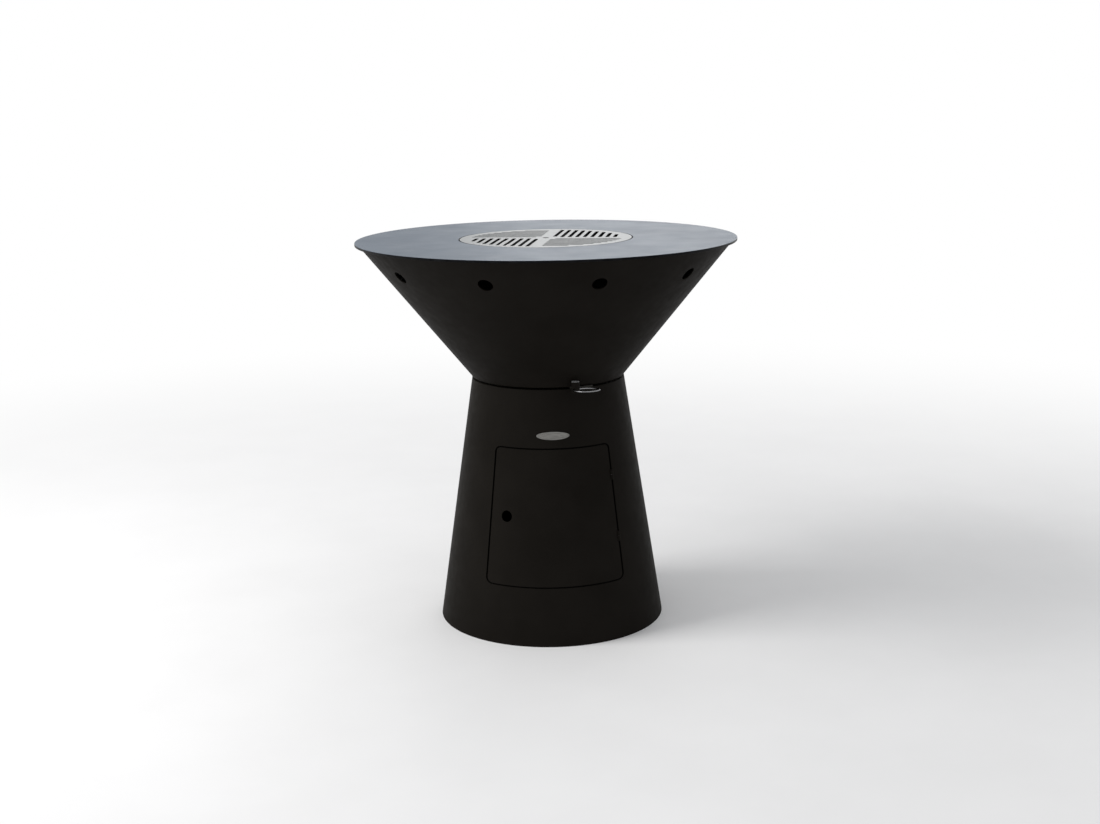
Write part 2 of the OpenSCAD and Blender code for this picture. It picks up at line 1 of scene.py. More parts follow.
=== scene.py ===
# Plancha brazier grill, in metres: a steel ring plate on a conical fire bowl, which stands
# on a conical pedestal with a curved door. The sections follow the order in which the grill
# is made and put together, from the pedestal up to the cooking plate.
import math

import bmesh
import bpy
from mathutils import Matrix, Vector


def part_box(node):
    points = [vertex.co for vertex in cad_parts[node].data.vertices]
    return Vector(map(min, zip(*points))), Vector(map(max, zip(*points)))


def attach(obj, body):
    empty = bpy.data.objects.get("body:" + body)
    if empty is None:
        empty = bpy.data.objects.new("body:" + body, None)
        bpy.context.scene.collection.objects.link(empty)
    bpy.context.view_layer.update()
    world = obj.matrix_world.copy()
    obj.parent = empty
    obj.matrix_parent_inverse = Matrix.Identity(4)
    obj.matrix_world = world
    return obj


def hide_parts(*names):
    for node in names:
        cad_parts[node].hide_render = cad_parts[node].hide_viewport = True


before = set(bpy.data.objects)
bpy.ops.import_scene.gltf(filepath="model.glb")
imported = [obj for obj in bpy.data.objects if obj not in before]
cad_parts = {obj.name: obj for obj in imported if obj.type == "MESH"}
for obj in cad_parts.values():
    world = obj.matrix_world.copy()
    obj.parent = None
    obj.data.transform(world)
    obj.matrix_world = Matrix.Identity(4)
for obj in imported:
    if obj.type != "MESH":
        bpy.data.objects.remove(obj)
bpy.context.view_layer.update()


# Pedestal shell
# One steel sheet, 3 mm thick, is rolled to a cone and welded up its back. The door opening is
# cut out of its front, and the whole shell is powder coated in a satin black.
foot_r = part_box("pedestal_shell")[1][0]
pedestal_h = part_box("pedestal_shell")[1][2]
neck_r = 0.203
pedestal_lean = math.atan((foot_r - neck_r) / pedestal_h)
sheet = 0.003
pedestal_wall = sheet / math.cos(pedestal_lean)
cone_steps = 288
door_sill = 0.150
door_top = 0.509
door_half = math.radians(40.5)
door_slope = math.atan(math.tan(pedestal_lean) * math.sin(door_half))
door_corner = 0.016
least_corner = 0.002
corner_steps = 8
sheet_edge = 0.0003
seam_start = 0.004
bead_r, bead_flat = 0.003, 0.2
doubles = 0.00001  # points closer than this are merged
near = 0.0001  # a point this close to a plane counts as lying on it
past = 0.001  # how far a cutter reaches past what it cuts
coat_black = (0.0084, 0.0072, 0.0059), (0.0102, 0.0088, 0.0073)


def pedestal_r(z):
    return foot_r - z * math.tan(pedestal_lean)


def alone(piece=None):
    """Selects one piece and nothing else, or nothing at all."""
    bpy.ops.object.select_all(action="DESELECT")
    if piece:
        piece.select_set(True)
        bpy.context.view_layer.objects.active = piece


def edit_mode():
    bpy.ops.object.mode_set(mode="EDIT")


def object_mode():
    bpy.ops.object.mode_set(mode="OBJECT")


def pick_all(kind=None):
    """In edit mode, selects everything, in another select mode where asked."""
    if kind:
        bpy.ops.mesh.select_mode(type=kind)
    bpy.ops.mesh.select_all(action="SELECT")


def pick(test, kind="VERT"):
    """In edit mode, selects only what passes a test on its middle."""
    shape = bmesh.from_edit_mesh(bpy.context.object.data)
    bpy.ops.mesh.select_mode(type=kind)
    bpy.ops.mesh.select_all(action="DESELECT")
    if kind == "VERT":
        chosen = [v for v in shape.verts if test(v.co)]
    elif kind == "EDGE":
        chosen = [e for e in shape.edges if test((e.verts[0].co + e.verts[1].co) / 2)]
    else:
        chosen = [f for f in shape.faces if test(f.calc_center_median())]
    for part in chosen:
        part.select_set(True)
    bmesh.update_edit_mesh(bpy.context.object.data)


def extrude(*by):
    """In edit mode, extrudes what is selected by a distance along each axis."""
    bpy.ops.mesh.extrude_region_move(TRANSFORM_OT_translate={"value": by})


def close_up():
    """In edit mode, merges doubles and turns the faces outwards."""
    pick_all()
    bpy.ops.mesh.remove_doubles(threshold=doubles)
    bpy.ops.mesh.normals_make_consistent(inside=False)


def standing_plane(name, middle, width, height):
    """Adds an upright rectangle that faces the front, and goes into edit mode."""
    alone()
    bpy.ops.mesh.primitive_plane_add(size=1, location=middle, rotation=(math.pi / 2, 0, 0))
    piece = bpy.context.object
    piece.name = name
    bpy.ops.object.transform_apply()
    edit_mode()
    bpy.ops.transform.resize(value=(width, 1, height), center_override=middle)
    return piece


def spin_round(steps=cone_steps):
    """In edit mode, spins the outline of a section round the axis to a closed solid."""
    pick_all()
    bpy.ops.mesh.delete(type="ONLY_FACE")
    pick(lambda p: abs(p.x) < near, "EDGE")
    bpy.ops.mesh.delete(type="EDGE")
    pick_all()
    bpy.ops.mesh.spin(steps=steps, angle=2 * math.pi, center=(0, 0, 0), axis=(0, 0, 1))
    close_up()
    object_mode()


def rolled_cone(name, low, high, wall):
    """A conical sheet; low and high are the radius and height of its outer face."""
    middle = ((low[0] + high[0] - wall) / 2, 0, (low[1] + high[1]) / 2)
    piece = standing_plane(name, middle, wall, high[1] - low[1])
    half_lean = (high[0] - low[0]) / 2
    pick(lambda p: p.z > middle[2])
    bpy.ops.transform.translate(value=(half_lean, 0, 0))
    pick(lambda p: p.z < middle[2])
    bpy.ops.transform.translate(value=(-half_lean, 0, 0))
    spin_round()
    return piece


def door_prism(inset):
    """The outline of the door opening, drawn in by a distance and pushed out of the front."""
    low, high = door_sill + inset, door_top - inset
    middle = (0, 0, (low + high) / 2)
    piece = standing_plane("door_prism", middle, 1, high - low)
    radius = max(door_corner - inset, least_corner)
    for z in (low, high):
        half_width = pedestal_r(z) * math.sin(door_half) - inset / math.cos(door_slope)
        pick(lambda p: abs(p.z - z) < near)
        bpy.ops.transform.resize(value=(2 * half_width, 1, 1), center_override=(0, 0, z))
    for z, corner_angle in ((low, math.pi / 2 - door_slope), (high, math.pi / 2 + door_slope)):
        pick(lambda p: abs(p.z - z) < near)
        bpy.ops.mesh.bevel(
            offset_type="OFFSET", offset=radius / math.tan(corner_angle / 2), segments=corner_steps,
            affect="VERTICES", clamp_overlap=False,
        )
    pick_all("FACE")
    extrude(0, -1.1 * foot_r, 0)
    close_up()
    object_mode()
    return piece


def cut(piece, *cutters, operation="DIFFERENCE"):
    """Cuts a piece with others that don't touch each other, or trims it to them, or adds them."""
    alone(cutters[0])
    for cutter in cutters[1:]:
        cutter.select_set(True)
    if len(cutters) > 1:
        bpy.ops.object.join()
    alone(piece)
    step = piece.modifiers.new("cut", "BOOLEAN")
    step.operation = operation
    step.solver = "EXACT"
    step.object = cutters[0]
    bpy.ops.object.modifier_apply(modifier=step.name)
    bpy.data.objects.remove(cutters[0])


def smooth(piece, angle):
    """Shades a piece smooth where it bends by less than an angle, and keeps flat faces flat."""
    alone(piece)
    bpy.ops.object.shade_smooth_by_angle(angle=math.radians(angle))
    step = piece.modifiers.new("normals", "WEIGHTED_NORMAL")
    step.keep_sharp = True
    bpy.ops.object.modifier_apply(modifier=step.name)


def soften(piece, width, segments=2, angle=30):
    """Rounds the sharp edges of a piece and shades it smooth."""
    alone(piece)
    edit_mode()
    close_up()
    object_mode()
    step = piece.modifiers.new("edges", "BEVEL")
    step.limit_method = "ANGLE"
    step.angle_limit = math.radians(angle)
    step.width = width
    step.segments = segments
    step.use_clamp_overlap = True
    bpy.ops.object.modifier_apply(modifier=step.name)
    smooth(piece, angle)


def place(pieces, body, slot, surface, *stands_for):
    """Gives finished pieces their material and their body, and hides the CAD nodes that they stand
    for.
    """
    for piece in pieces:
        piece.data.materials.clear()
        piece.data.materials.append(surface)
        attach(piece, body)
    if stands_for:
        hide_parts(*stands_for)


def settle(piece, turn=0, spot=(0, 0, 0)):
    """Turns a piece round the axis and moves it, and leaves its place in its mesh."""
    alone(piece)
    piece.rotation_euler.z = turn
    piece.location = spot
    bpy.ops.object.transform_apply()


def bar(name, low, high, radius, sides=48):
    """A round bar from one point to another."""
    low, high = Vector(low), Vector(high)
    alone()
    bpy.ops.mesh.primitive_cylinder_add(
        vertices=sides, radius=radius, depth=(high - low).length, location=(low + high) / 2,
        rotation=(high - low).to_track_quat("Z", "Y").to_euler(),
    )
    bpy.ops.object.transform_apply()
    bpy.context.object.name = name
    return bpy.context.object


def seam(name, low, high):
    """A flat weld bead down the back of a rolled sheet, half sunk into it."""
    low, high = Vector(low), Vector(high)
    piece = bar(name, (0, 0, 0), (0, 0, (high - low).length), bead_r, 24)
    edit_mode()
    pick_all()
    bpy.ops.transform.resize(value=(1, bead_flat, 1), center_override=(0, 0, 0))
    object_mode()
    piece.rotation_euler = (high - low).to_track_quat("Z", "Y").to_euler()
    piece.location = low
    bpy.ops.object.transform_apply()
    bpy.ops.object.shade_smooth_by_angle(angle=math.radians(40))
    return piece


def shader_of(made):
    return made.node_tree.nodes["Principled BSDF"]


def material(name, metallic, specular=0.5):
    """A new material, with what is the same all over set on its shader."""
    made = bpy.data.materials.new(name)
    made.use_nodes = True
    shader = shader_of(made)
    shader.inputs["Metallic"].default_value = metallic
    shader.inputs["Specular IOR Level"].default_value = specular
    return made


def grains(made, per_metre, detail=3, stretch=(1, 1, 1)):
    """A grey noise in the piece's own space, drawn out along an axis where stretch is small."""
    tree = made.node_tree
    where = tree.nodes.new("ShaderNodeTexCoord")
    drawn = tree.nodes.new("ShaderNodeMapping")
    drawn.inputs["Scale"].default_value = stretch
    noise = tree.nodes.new("ShaderNodeTexNoise")
    noise.inputs["Scale"].default_value = per_metre
    noise.inputs["Detail"].default_value = detail
    tree.links.new(where.outputs["Object"], drawn.inputs["Vector"])
    tree.links.new(drawn.outputs["Vector"], noise.inputs["Vector"])
    return noise.outputs["Fac"]


def colour_by(made, pattern, dark, light, low=0.35, high=0.65):
    """Colours the shader from dark to light with a grey pattern."""
    ramp = made.node_tree.nodes.new("ShaderNodeValToRGB")
    ramp.color_ramp.elements[0].position = low
    ramp.color_ramp.elements[0].color = (*dark, 1)
    ramp.color_ramp.elements[1].position = high
    ramp.color_ramp.elements[1].color = (*light, 1)
    made.node_tree.links.new(pattern, ramp.inputs["Fac"])
    made.node_tree.links.new(ramp.outputs["Color"], shader_of(made).inputs["Base Color"])
    return ramp.outputs["Color"]


def roughness_by(made, pattern, least, most, low=0.3, high=0.7):
    """Varies the shader's roughness with a grey pattern."""
    span = made.node_tree.nodes.new("ShaderNodeMapRange")
    span.inputs["From Min"].default_value = low
    span.inputs["From Max"].default_value = high
    span.inputs["To Min"].default_value = least
    span.inputs["To Max"].default_value = most
    made.node_tree.links.new(pattern, span.inputs["Value"])
    made.node_tree.links.new(span.outputs["Result"], shader_of(made).inputs["Roughness"])


def relief_by(made, pattern, height):
    """Gives the shader a relief of a height in metres."""
    bump = made.node_tree.nodes.new("ShaderNodeBump")
    bump.inputs["Distance"].default_value = height
    made.node_tree.links.new(pattern, bump.inputs["Height"])
    made.node_tree.links.new(bump.outputs["Normal"], shader_of(made).inputs["Normal"])


black_coat = material("black_coat", 0, 0.02)
colour_by(black_coat, grains(black_coat, 9), *coat_black)
roughness_by(black_coat, grains(black_coat, 45), 0.48, 0.58)
relief_by(black_coat, grains(black_coat, 600, 2), 0.000015)

hinge_d = 0.009
hinge_len = 0.026
hinge_play = 0.0003
hinge_heights = (0.264, 0.425)
door_gap = 0.004
door_middle = (door_sill + door_top) / 2
hinge_angle = math.asin(
    math.sin(door_half) - door_gap / 2 / math.cos(door_slope) / pedestal_r(door_middle)
)


def hinge_rod(name, z, low, high, diameter):
    """A round bar on the hinge line, from one distance along it to another."""
    line = (
        Matrix.Rotation(hinge_angle, 4, "Z") @ Matrix.Translation((0, -pedestal_r(z), z))
        @ Matrix.Rotation(-pedestal_lean, 4, "X")
    )
    return bar(name, line @ Vector((0, 0, low)), line @ Vector((0, 0, high)), diameter / 2)


def notch_for_hinges(piece):
    half, wide = hinge_len / 2 + hinge_play, hinge_d + 2 * hinge_play
    cut(piece, *[hinge_rod("notch", z, -half, half, wide) for z in hinge_heights])


shell = rolled_cone("pedestal_shell_sheet", (foot_r, 0), (neck_r, pedestal_h), pedestal_wall)
cut(shell, door_prism(0))
notch_for_hinges(shell)
soften(shell, sheet_edge)
place([shell], "stand", "black_coat", black_coat, "pedestal_shell")
low, high = seam_start, pedestal_h - seam_start
weld = seam("pedestal_seam", (0, pedestal_r(low), low), (0, pedestal_r(high), high))
place([weld], "stand", "black_coat", black_coat)


# Rings in the pedestal
# Two flat rings of 5 mm steel, welded inside the shell. The pedestal stands on the one in its
# foot, and the bowl is bolted to the one in its neck.
ring_width = 0.045
ring_t = 0.005
weld_gap = 0.0002
plate_edge = 0.0004
bolt_circle_r = 0.175
bolt_hole_d = 0.011
bolt_turns = [math.radians(45 + 90 * k) for k in range(4)]


def on_circle(turn, radius, z):
    """A point round the axis; no turn is the front."""
    return Vector((radius * math.sin(turn), -radius * math.cos(turn), z))


def flat_ring(name, inner, outer_low, outer_high, z0, z1, steps=cone_steps):
    """A disc or flat ring whose edge follows a cone."""
    middle = ((inner + outer_low) / 2, 0, (z0 + z1) / 2)
    piece = standing_plane(name, middle, outer_low - inner, z1 - z0)
    pick(lambda p: p.x > middle[0] and p.z > middle[2])
    bpy.ops.transform.translate(value=(outer_high - outer_low, 0, 0))
    spin_round(steps)
    return piece


def drill_round(piece, turns, radius, z0, z1, diameter):
    """Drills holes through a flat piece at turns round the axis."""
    ends = [[on_circle(turn, radius, z) for z in (z0 - past, z1 + past)] for turn in turns]
    cut(piece, *[bar("drill", low, high, diameter / 2) for low, high in ends])


def inside_r(z):
    return pedestal_r(z) - pedestal_wall - weld_gap


neck_low = pedestal_h - ring_t
neck_ring = flat_ring(
    "neck_ring", inside_r(pedestal_h) - ring_width, inside_r(neck_low), inside_r(pedestal_h),
    neck_low, pedestal_h,
)
drill_round(neck_ring, bolt_turns, bolt_circle_r, neck_low, pedestal_h, bolt_hole_d)
foot_ring = flat_ring(
    "foot_ring", inside_r(0) + weld_gap - ring_width, inside_r(0), inside_r(ring_t), 0, ring_t
)
for piece, node in ((neck_ring, "pedestal_top_ring"), (foot_ring, "pedestal_base_ring")):
    soften(piece, plate_edge)
    place([piece], "stand", "black_coat", black_coat, node)


# Shelf and its brackets
# A round shelf of 3 mm sheet lies just under the sill, on four angle brackets that are bent
# from flat bar and welded to the shell.
shelf_top = 0.138
shelf_t = 0.003
shelf_gap = 0.0003
bracket_w, bracket_reach, bracket_h, bracket_t = 0.030, 0.035, 0.030, 0.003
bar_edge = 0.0007


def block(name, low, high):
    """A block between two corners."""
    alone()
    bpy.ops.mesh.primitive_cube_add(
        size=1, location=[(a + b) / 2 for a, b in zip(low, high)],
        scale=[b - a for a, b in zip(low, high)],
    )
    bpy.ops.object.transform_apply()
    bpy.context.object.name = name
    return bpy.context.object


def set_round(piece, turns):
    """Sets a copy of a piece, with its own mesh, at each turn round the axis."""
    made = []
    for number, turn in enumerate(turns):
        other = piece.copy()
        other.data = piece.data.copy()
        other.name = f"{piece.name}_{number + 1}"
        bpy.context.scene.collection.objects.link(other)
        settle(other, turn)
        made.append(other)
    bpy.data.objects.remove(piece)
    return made


def shelf_r(z):
    return inside_r(z) + weld_gap - shelf_gap


under = shelf_top - shelf_t
shelf = flat_ring("shelf_plate", 0, shelf_r(under), shelf_r(shelf_top), under, shelf_top)
soften(shelf, plate_edge)
place([shelf], "stand", "black_coat", black_coat, "cabinet_shelf")

leg_y = -math.sqrt(shelf_r(under) ** 2 - bracket_w ** 2 / 4)
bracket = block(
    "shelf_bracket", (-bracket_w / 2, leg_y, under - bracket_t),
    (bracket_w / 2, leg_y + bracket_reach, under),
)
edit_mode()
pick_all()
bpy.ops.mesh.bisect(plane_co=(0, leg_y + bracket_t, under), plane_no=(0, 1, 0))
pick(lambda p: p.z < under - bracket_t + near and p.y < leg_y + bracket_t, "FACE")
leg = bracket_h - bracket_t
extrude(0, -leg * math.tan(pedestal_lean), -leg)
object_mode()
soften(bracket, bar_edge)
place(set_round(bracket, bolt_turns), "stand", "black_coat", black_coat, "shelf_brackets")


# Door panel
# The same rolled sheet, cut 4 mm smaller than the opening all round. A round hole at its
# free side takes a finger.
finger_hole_r = 0.015
finger_z = 0.331
finger_in = 0.041

low, high = (pedestal_r(door_sill), door_sill), (pedestal_r(door_top), door_top)
door = rolled_cone("door_sheet", low, high, pedestal_wall)
cut(door, door_prism(door_gap), operation="INTERSECT")
notch_for_hinges(door)
finger_x = pedestal_r(finger_z) * math.sin(door_half) - finger_in
finger_turn = -math.asin(finger_x / pedestal_r(finger_z))


def through_wall(turn, z, depth_out, depth_in):
    """Two points on a line square to the pedestal's wall, outside and inside its outer face."""
    lean = Vector((0, -math.cos(pedestal_lean), math.sin(pedestal_lean)))
    square = Matrix.Rotation(turn, 3, "Z") @ lean
    face = on_circle(turn, pedestal_r(z), z)
    return face + square * depth_out, face - square * depth_in


ends = through_wall(finger_turn, finger_z, 3 * sheet, 3 * sheet)
cut(door, bar("finger_hole", *ends, finger_hole_r, 64))
soften(door, sheet_edge)
place([door], "door", "black_coat", black_coat, "door_panel")


# Stop band
# A frame of bent flat steel, welded behind the edge of the opening. The door closes against
# it. Its coat is painted near black, as painted shade in the gap round the door, and is matt.
painted_shade_coat = material("painted_shade_coat", 0, 0.02)
# Near black: painted shade in the gap round the door.
colour_by(painted_shade_coat, grains(painted_shade_coat, 30), (0.0014, 0.0013, 0.0012), (0.0022, 0.0020, 0.0018))
roughness_by(painted_shade_coat, grains(painted_shade_coat, 90), 0.70, 0.85)
relief_by(painted_shade_coat, grains(painted_shade_coat, 500, 3), 0.00002)
band_gap = 0.0003
band_depth = pedestal_wall + band_gap
band_t = 0.0025
band_lap = 0.010
band_weld = 0.010
band_low, band_high = door_sill - band_weld - past, door_top + band_weld + past


def pedestal_layer(name, depth, thick, z0, z1):
    """A layer of the pedestal's cone, its outer face a distance below the shell's."""
    return rolled_cone(name, (pedestal_r(z0) - depth, z0), (pedestal_r(z1) - depth, z1), thick)


band = pedestal_layer("stop_band", band_depth, band_t, band_low, band_high)
cut(band, door_prism(-band_weld), operation="INTERSECT")
cut(band, door_prism(door_gap + band_lap))
notch_for_hinges(band)
soften(band, plate_edge)
place([band], "stand", "black_coat", painted_shade_coat, "door_frame")


# Hinges
# Two short barrels on each hinge line, the upper one welded to the door and the lower one to
# the shell, with a zinc plated pin through both.
zinc_plate = material("zinc_plate", 0.9)
colour_by(zinc_plate, grains(zinc_plate, 55, 2), (0.32, 0.335, 0.35), (0.46, 0.475, 0.49))
roughness_by(zinc_plate, grains(zinc_plate, 80, 3), 0.28, 0.46)
relief_by(zinc_plate, grains(zinc_plate, 300, 2), 0.00001)
pin_d = 0.005
pin_short, pin_edge = 0.001, 0.0006
pin_half = hinge_len / 2 - pin_short
bore_play = 0.0001
joint_gap = 0.00015

barrels = {"door": [], "frame": []}
pins = []
for number, z in enumerate(hinge_heights):
    for owner, low, high, bore in (
        ("door", joint_gap, hinge_len / 2, pin_d + 2 * bore_play),
        ("frame", -hinge_len / 2, -joint_gap, pin_d + bore_play),
    ):
        barrel = hinge_rod(f"{owner}_hinge_barrel_{number + 1}", z, low, high, hinge_d)
        cut(barrel, hinge_rod("bore", z, low - past, high + past, bore))
        soften(barrel, plate_edge)
        barrels[owner].append(barrel)
    pins.append(hinge_rod(f"hinge_pin_{number + 1}", z, -pin_half, pin_half, pin_d))
    soften(pins[-1], pin_edge)
place(barrels["door"], "door", "black_coat", black_coat, "door_hinge_knuckles")
place(barrels["frame"], "stand", "black_coat", black_coat, "frame_hinge_knuckles")
place(pins, "stand", "zinc_plate", zinc_plate, "hinge_pins")


# Magnets
# Two round magnets hold the door shut. They sit in holes in two curved steel plates, which
# are welded to the back of the stop band at the door's free side.
raw_steel = material("raw_steel", 0.8)
colour_by(raw_steel, grains(raw_steel, 25, 5), (0.06, 0.058, 0.056), (0.16, 0.155, 0.15))
roughness_by(raw_steel, grains(raw_steel, 60, 4), 0.42, 0.62)
relief_by(raw_steel, grains(raw_steel, 500, 3), 0.00002)
nickel = material("nickel", 1)
colour_by(nickel, grains(nickel, 120, 2), (0.52, 0.50, 0.47), (0.62, 0.60, 0.57))
roughness_by(nickel, grains(nickel, 200, 2), 0.14, 0.22)
magnet_heights = (0.245, 0.415)
magnet_r, magnet_len, magnet_off = 0.007, 0.009, 0.0033
magnet_edge = 0.0005
magnet_plate_depth = band_depth + band_t + weld_gap
magnet_plate_half = 0.020
magnet_plate_lap, magnet_plate_out = 0.008, 0.022
hole_end = 0.02
bend_points = 0.0004

magnet_plates = []
magnets = []
for number, z in enumerate(magnet_heights):
    edge = pedestal_r(z) * math.sin(door_half) - (door_gap + band_lap) / math.cos(door_slope)
    turn = -math.asin((edge - magnet_plate_out / 2) / pedestal_r(z))
    low, high = z - magnet_plate_half, z + magnet_plate_half
    piece = pedestal_layer(f"magnet_plate_{number + 1}", magnet_plate_depth, band_t, low, high)
    blank = block(
        "blank", (-edge - magnet_plate_lap, -foot_r, low - past),
        (magnet_plate_out - edge, 0, high + past),
    )
    cut(piece, blank, operation="INTERSECT")
    spot = through_wall(turn, z, -magnet_off, magnet_off + magnet_len)
    cut(piece, bar("hole", *through_wall(turn, z, 0, hole_end), magnet_r + bore_play))
    alone(piece)
    edit_mode()
    pick_all()
    bpy.ops.mesh.remove_doubles(threshold=bend_points)
    object_mode()
    soften(piece, sheet_edge)
    magnet_plates.append(piece)
    magnets.append(bar(f"magnet_{number + 1}", *spot, magnet_r))
    soften(magnets[-1], magnet_edge)
place(magnet_plates, "stand", "raw_steel", raw_steel, "magnet_brackets")
place(magnets, "stand", "nickel", nickel, "door_magnets")


# Oval plate
# A small pressed plate of brushed stainless steel with a raised border, bent to the
# pedestal's curve and fixed above the door.
brushed_plate = material("brushed_plate", 1)
brushing = (0.03, 1, 1)
colour_by(
    brushed_plate, grains(brushed_plate, 900, 3, brushing),
    (0.125, 0.122, 0.116), (0.20, 0.196, 0.186),
)
roughness_by(brushed_plate, grains(brushed_plate, 700, 3, brushing), 0.26, 0.42)
relief_by(brushed_plate, grains(brushed_plate, 1400, 2, brushing), 0.00001)
oval_z = 0.541
oval_w, oval_h = 0.085, 0.0205
oval_t = 0.0015
oval_border = 0.002
oval_raise = 0.0004
oval_edge = 0.00015
oval_start, oval_reach = 0.02 - neck_r, 0.06


def oval_prism(width, height):
    alone()
    bpy.ops.mesh.primitive_circle_add(
        vertices=96, radius=0.5, fill_type="NGON", location=(0, oval_start, oval_z),
        rotation=(math.pi / 2, 0, 0),
    )
    bpy.ops.object.transform_apply()
    edit_mode()
    bpy.ops.transform.resize(value=(width, 1, height), center_override=(0, 0, oval_z))
    extrude(0, -oval_reach, 0)
    close_up()
    object_mode()
    return bpy.context.object


oval_low, oval_high = oval_z - oval_h / 2 - past, oval_z + oval_h / 2 + past
oval = pedestal_layer("oval_plate_pressing", -oval_t - weld_gap, oval_t, oval_low, oval_high)
cut(oval, oval_prism(oval_w, oval_h), operation="INTERSECT")
field_t = past - weld_gap + oval_raise
field = pedestal_layer("oval_field", -oval_t - past, field_t, oval_low, oval_high)
cut(field, oval_prism(oval_w - 2 * oval_border, oval_h - 2 * oval_border), operation="INTERSECT")
cut(oval, field)
soften(oval, oval_edge)
place([oval], "stand", "stainless", brushed_plate, "oval_plate")


# Ash bin
# A round tapered bin of thin galvanized sheet with two pressed ribs and a rim rolled round a
# wire. It stands on the shelf under the bowl and catches the ash.
bin_foot_r, bin_rim_r, bin_h = 0.098, 0.118, 0.230
bin_sheet = 0.0012
bin_bead_r = 0.0025
bin_bend = 0.003
rib_heights = (0.054, 0.104)
rib_slope, rib_flat, rib_out = 0.003, 0.004, 0.0012
bin_top = shelf_top + bin_h


def bin_r(z):
    return bin_foot_r + (z - shelf_top) * (bin_rim_r - bin_foot_r) / bin_h


alone()
bpy.ops.mesh.primitive_circle_add(
    vertices=144, radius=bin_foot_r, fill_type="NGON", location=(0, 0, shelf_top)
)
bpy.ops.object.transform_apply()
ash_bin = bpy.context.object
ash_bin.name = "bin_shell"
edit_mode()
pick_all("FACE")
steps_up = []
for low in rib_heights:
    high = low + 2 * rib_slope + rib_flat
    steps_up += [(low, 0), (low + rib_slope, rib_out), (high - rib_slope, rib_out), (high, 0)]
last_z, last_r = shelf_top, bin_foot_r
for up, out in (*steps_up, (bin_h, 0)):
    z, radius = shelf_top + up, bin_r(shelf_top + up) + out
    extrude(0, 0, z - last_z)
    bpy.ops.transform.resize(value=(radius / last_r, radius / last_r, 1), center_override=(0, 0, z))
    last_z, last_r = z, radius
bpy.ops.mesh.delete(type="ONLY_FACE")
pick(lambda p: p.z < shelf_top + near, "EDGE")
bpy.ops.mesh.bevel(offset=bin_bend, segments=3)
object_mode()
wall = ash_bin.modifiers.new("wall", "SOLIDIFY")
wall.thickness = bin_sheet
wall.offset = -1
bpy.ops.object.modifier_apply(modifier=wall.name)
alone()
bpy.ops.mesh.primitive_torus_add(
    major_segments=144, minor_segments=20, major_radius=bin_rim_r, minor_radius=bin_bead_r,
    location=(0, 0, bin_top),
)
cut(ash_bin, bpy.context.object, operation="UNION")
soften(ash_bin, bin_sheet / 2, 2, 12)
place([ash_bin], "bin", "zinc_plate", zinc_plate, "ash_bin")


# Bin ears and bail
# Two round ears are welded to the bin. The ends of a bent wire bail turn in them, and it
# hangs down against the bin.
ear_z = 0.348
ear_r, ear_out = 0.009, 0.008
ear_tip = bin_r(ear_z) + weld_gap + ear_out
ear_edge = 0.0008
bail_wire_r = 0.003
bail_pin_r = 0.0028
bail_pin_in = 0.005
bail_gap, bail_rest = 0.002, 0.0006
bail_r = ear_tip + bail_gap + bail_wire_r
bin_taper = math.atan((bin_rim_r - bin_foot_r) / bin_h)
bail_drop = bin_taper + math.acos(
    (bin_r(ear_z) * math.cos(bin_taper) + bail_wire_r + bail_rest) / bail_r
)

ear = bar("ear", (0.9 * bin_foot_r, 0, ear_z), (ear_tip, 0, ear_z), ear_r)
cut(ear, flat_ring("bin_body", 0, bin_foot_r + weld_gap, bin_rim_r + weld_gap, shelf_top, bin_top))
ends = (ear_tip - bail_pin_in - past, 0, ear_z), (ear_tip + past, 0, ear_z)
cut(ear, bar("hole", *ends, bail_pin_r + bore_play))
soften(ear, ear_edge)
place(set_round(ear, (0, math.pi)), "bin", "zinc_plate", zinc_plate, "bin_ears")

alone()
bpy.ops.mesh.primitive_torus_add(
    major_segments=128, minor_segments=20, major_radius=bail_r, minor_radius=bail_wire_r
)
bail = bpy.context.object
bail.name = "bail_wire"
edit_mode()
pick_all()
bpy.ops.mesh.bisect(plane_co=(0, 0, 0), plane_no=(0, 1, 0), use_fill=True, clear_outer=True)
object_mode()
for side in (-1, 1):
    ends = (side * (ear_tip - bail_pin_in), 0, 0), (side * (bail_r + bail_wire_r), 0, 0)
    cut(bail, bar("bail_pin", *ends, bail_pin_r, 20), operation="UNION")
soften(bail, sheet_edge, 2, 40)
bail.rotation_euler.x = bail_drop
bail.location.z = ear_z
bpy.ops.object.transform_apply()
place([bail], "bail", "zinc_plate", zinc_plate, "bin_handle")


# Floor of the bowl
# A 5 mm steel disc, welded into the bowl's foot. Eight ash openings lie round its middle,
# and four bolts go through it.
bowl_foot_r, bowl_rim_r = 0.203, 0.489
bowl_z, rim_z = 0.663, 1.018
floor_top = 0.668
bowl_lean = math.atan((bowl_rim_r - bowl_foot_r) / (rim_z - bowl_z))
bowl_wall = sheet / math.cos(bowl_lean)
ash_in_r, ash_out_r = 0.045, 0.122
ash_span = math.radians(21)
pivot_r = 0.006


def bowl_r(z):
    return bowl_foot_r + (z - bowl_z) * math.tan(bowl_lean)


def sector(name, inner, outer, z0, z1, start, span, steps=12):
    """Part of a flat ring, from one turn round the axis over an angle."""
    piece = standing_plane(name, ((inner + outer) / 2, 0, (z0 + z1) / 2), outer - inner, z1 - z0)
    pick_all()
    bpy.ops.mesh.spin(steps=steps, angle=-span, center=(0, 0, 0), axis=(0, 0, 1))
    close_up()
    object_mode()
    settle(piece, start - math.pi / 2)
    return piece


def ash_openings(piece, z0, z1, turn=0):
    """Cuts the eight ash openings and the pivot's hole through a flat piece."""
    low, high = z0 - past, z1 + past
    starts = [turn + k * math.pi / 4 - ash_span / 2 for k in range(8)]
    cut(
        piece, bar("pivot_hole", (0, 0, low), (0, 0, high), pivot_r + bore_play),
        *[sector("opening", ash_in_r, ash_out_r, low, high, start, ash_span) for start in starts],
    )


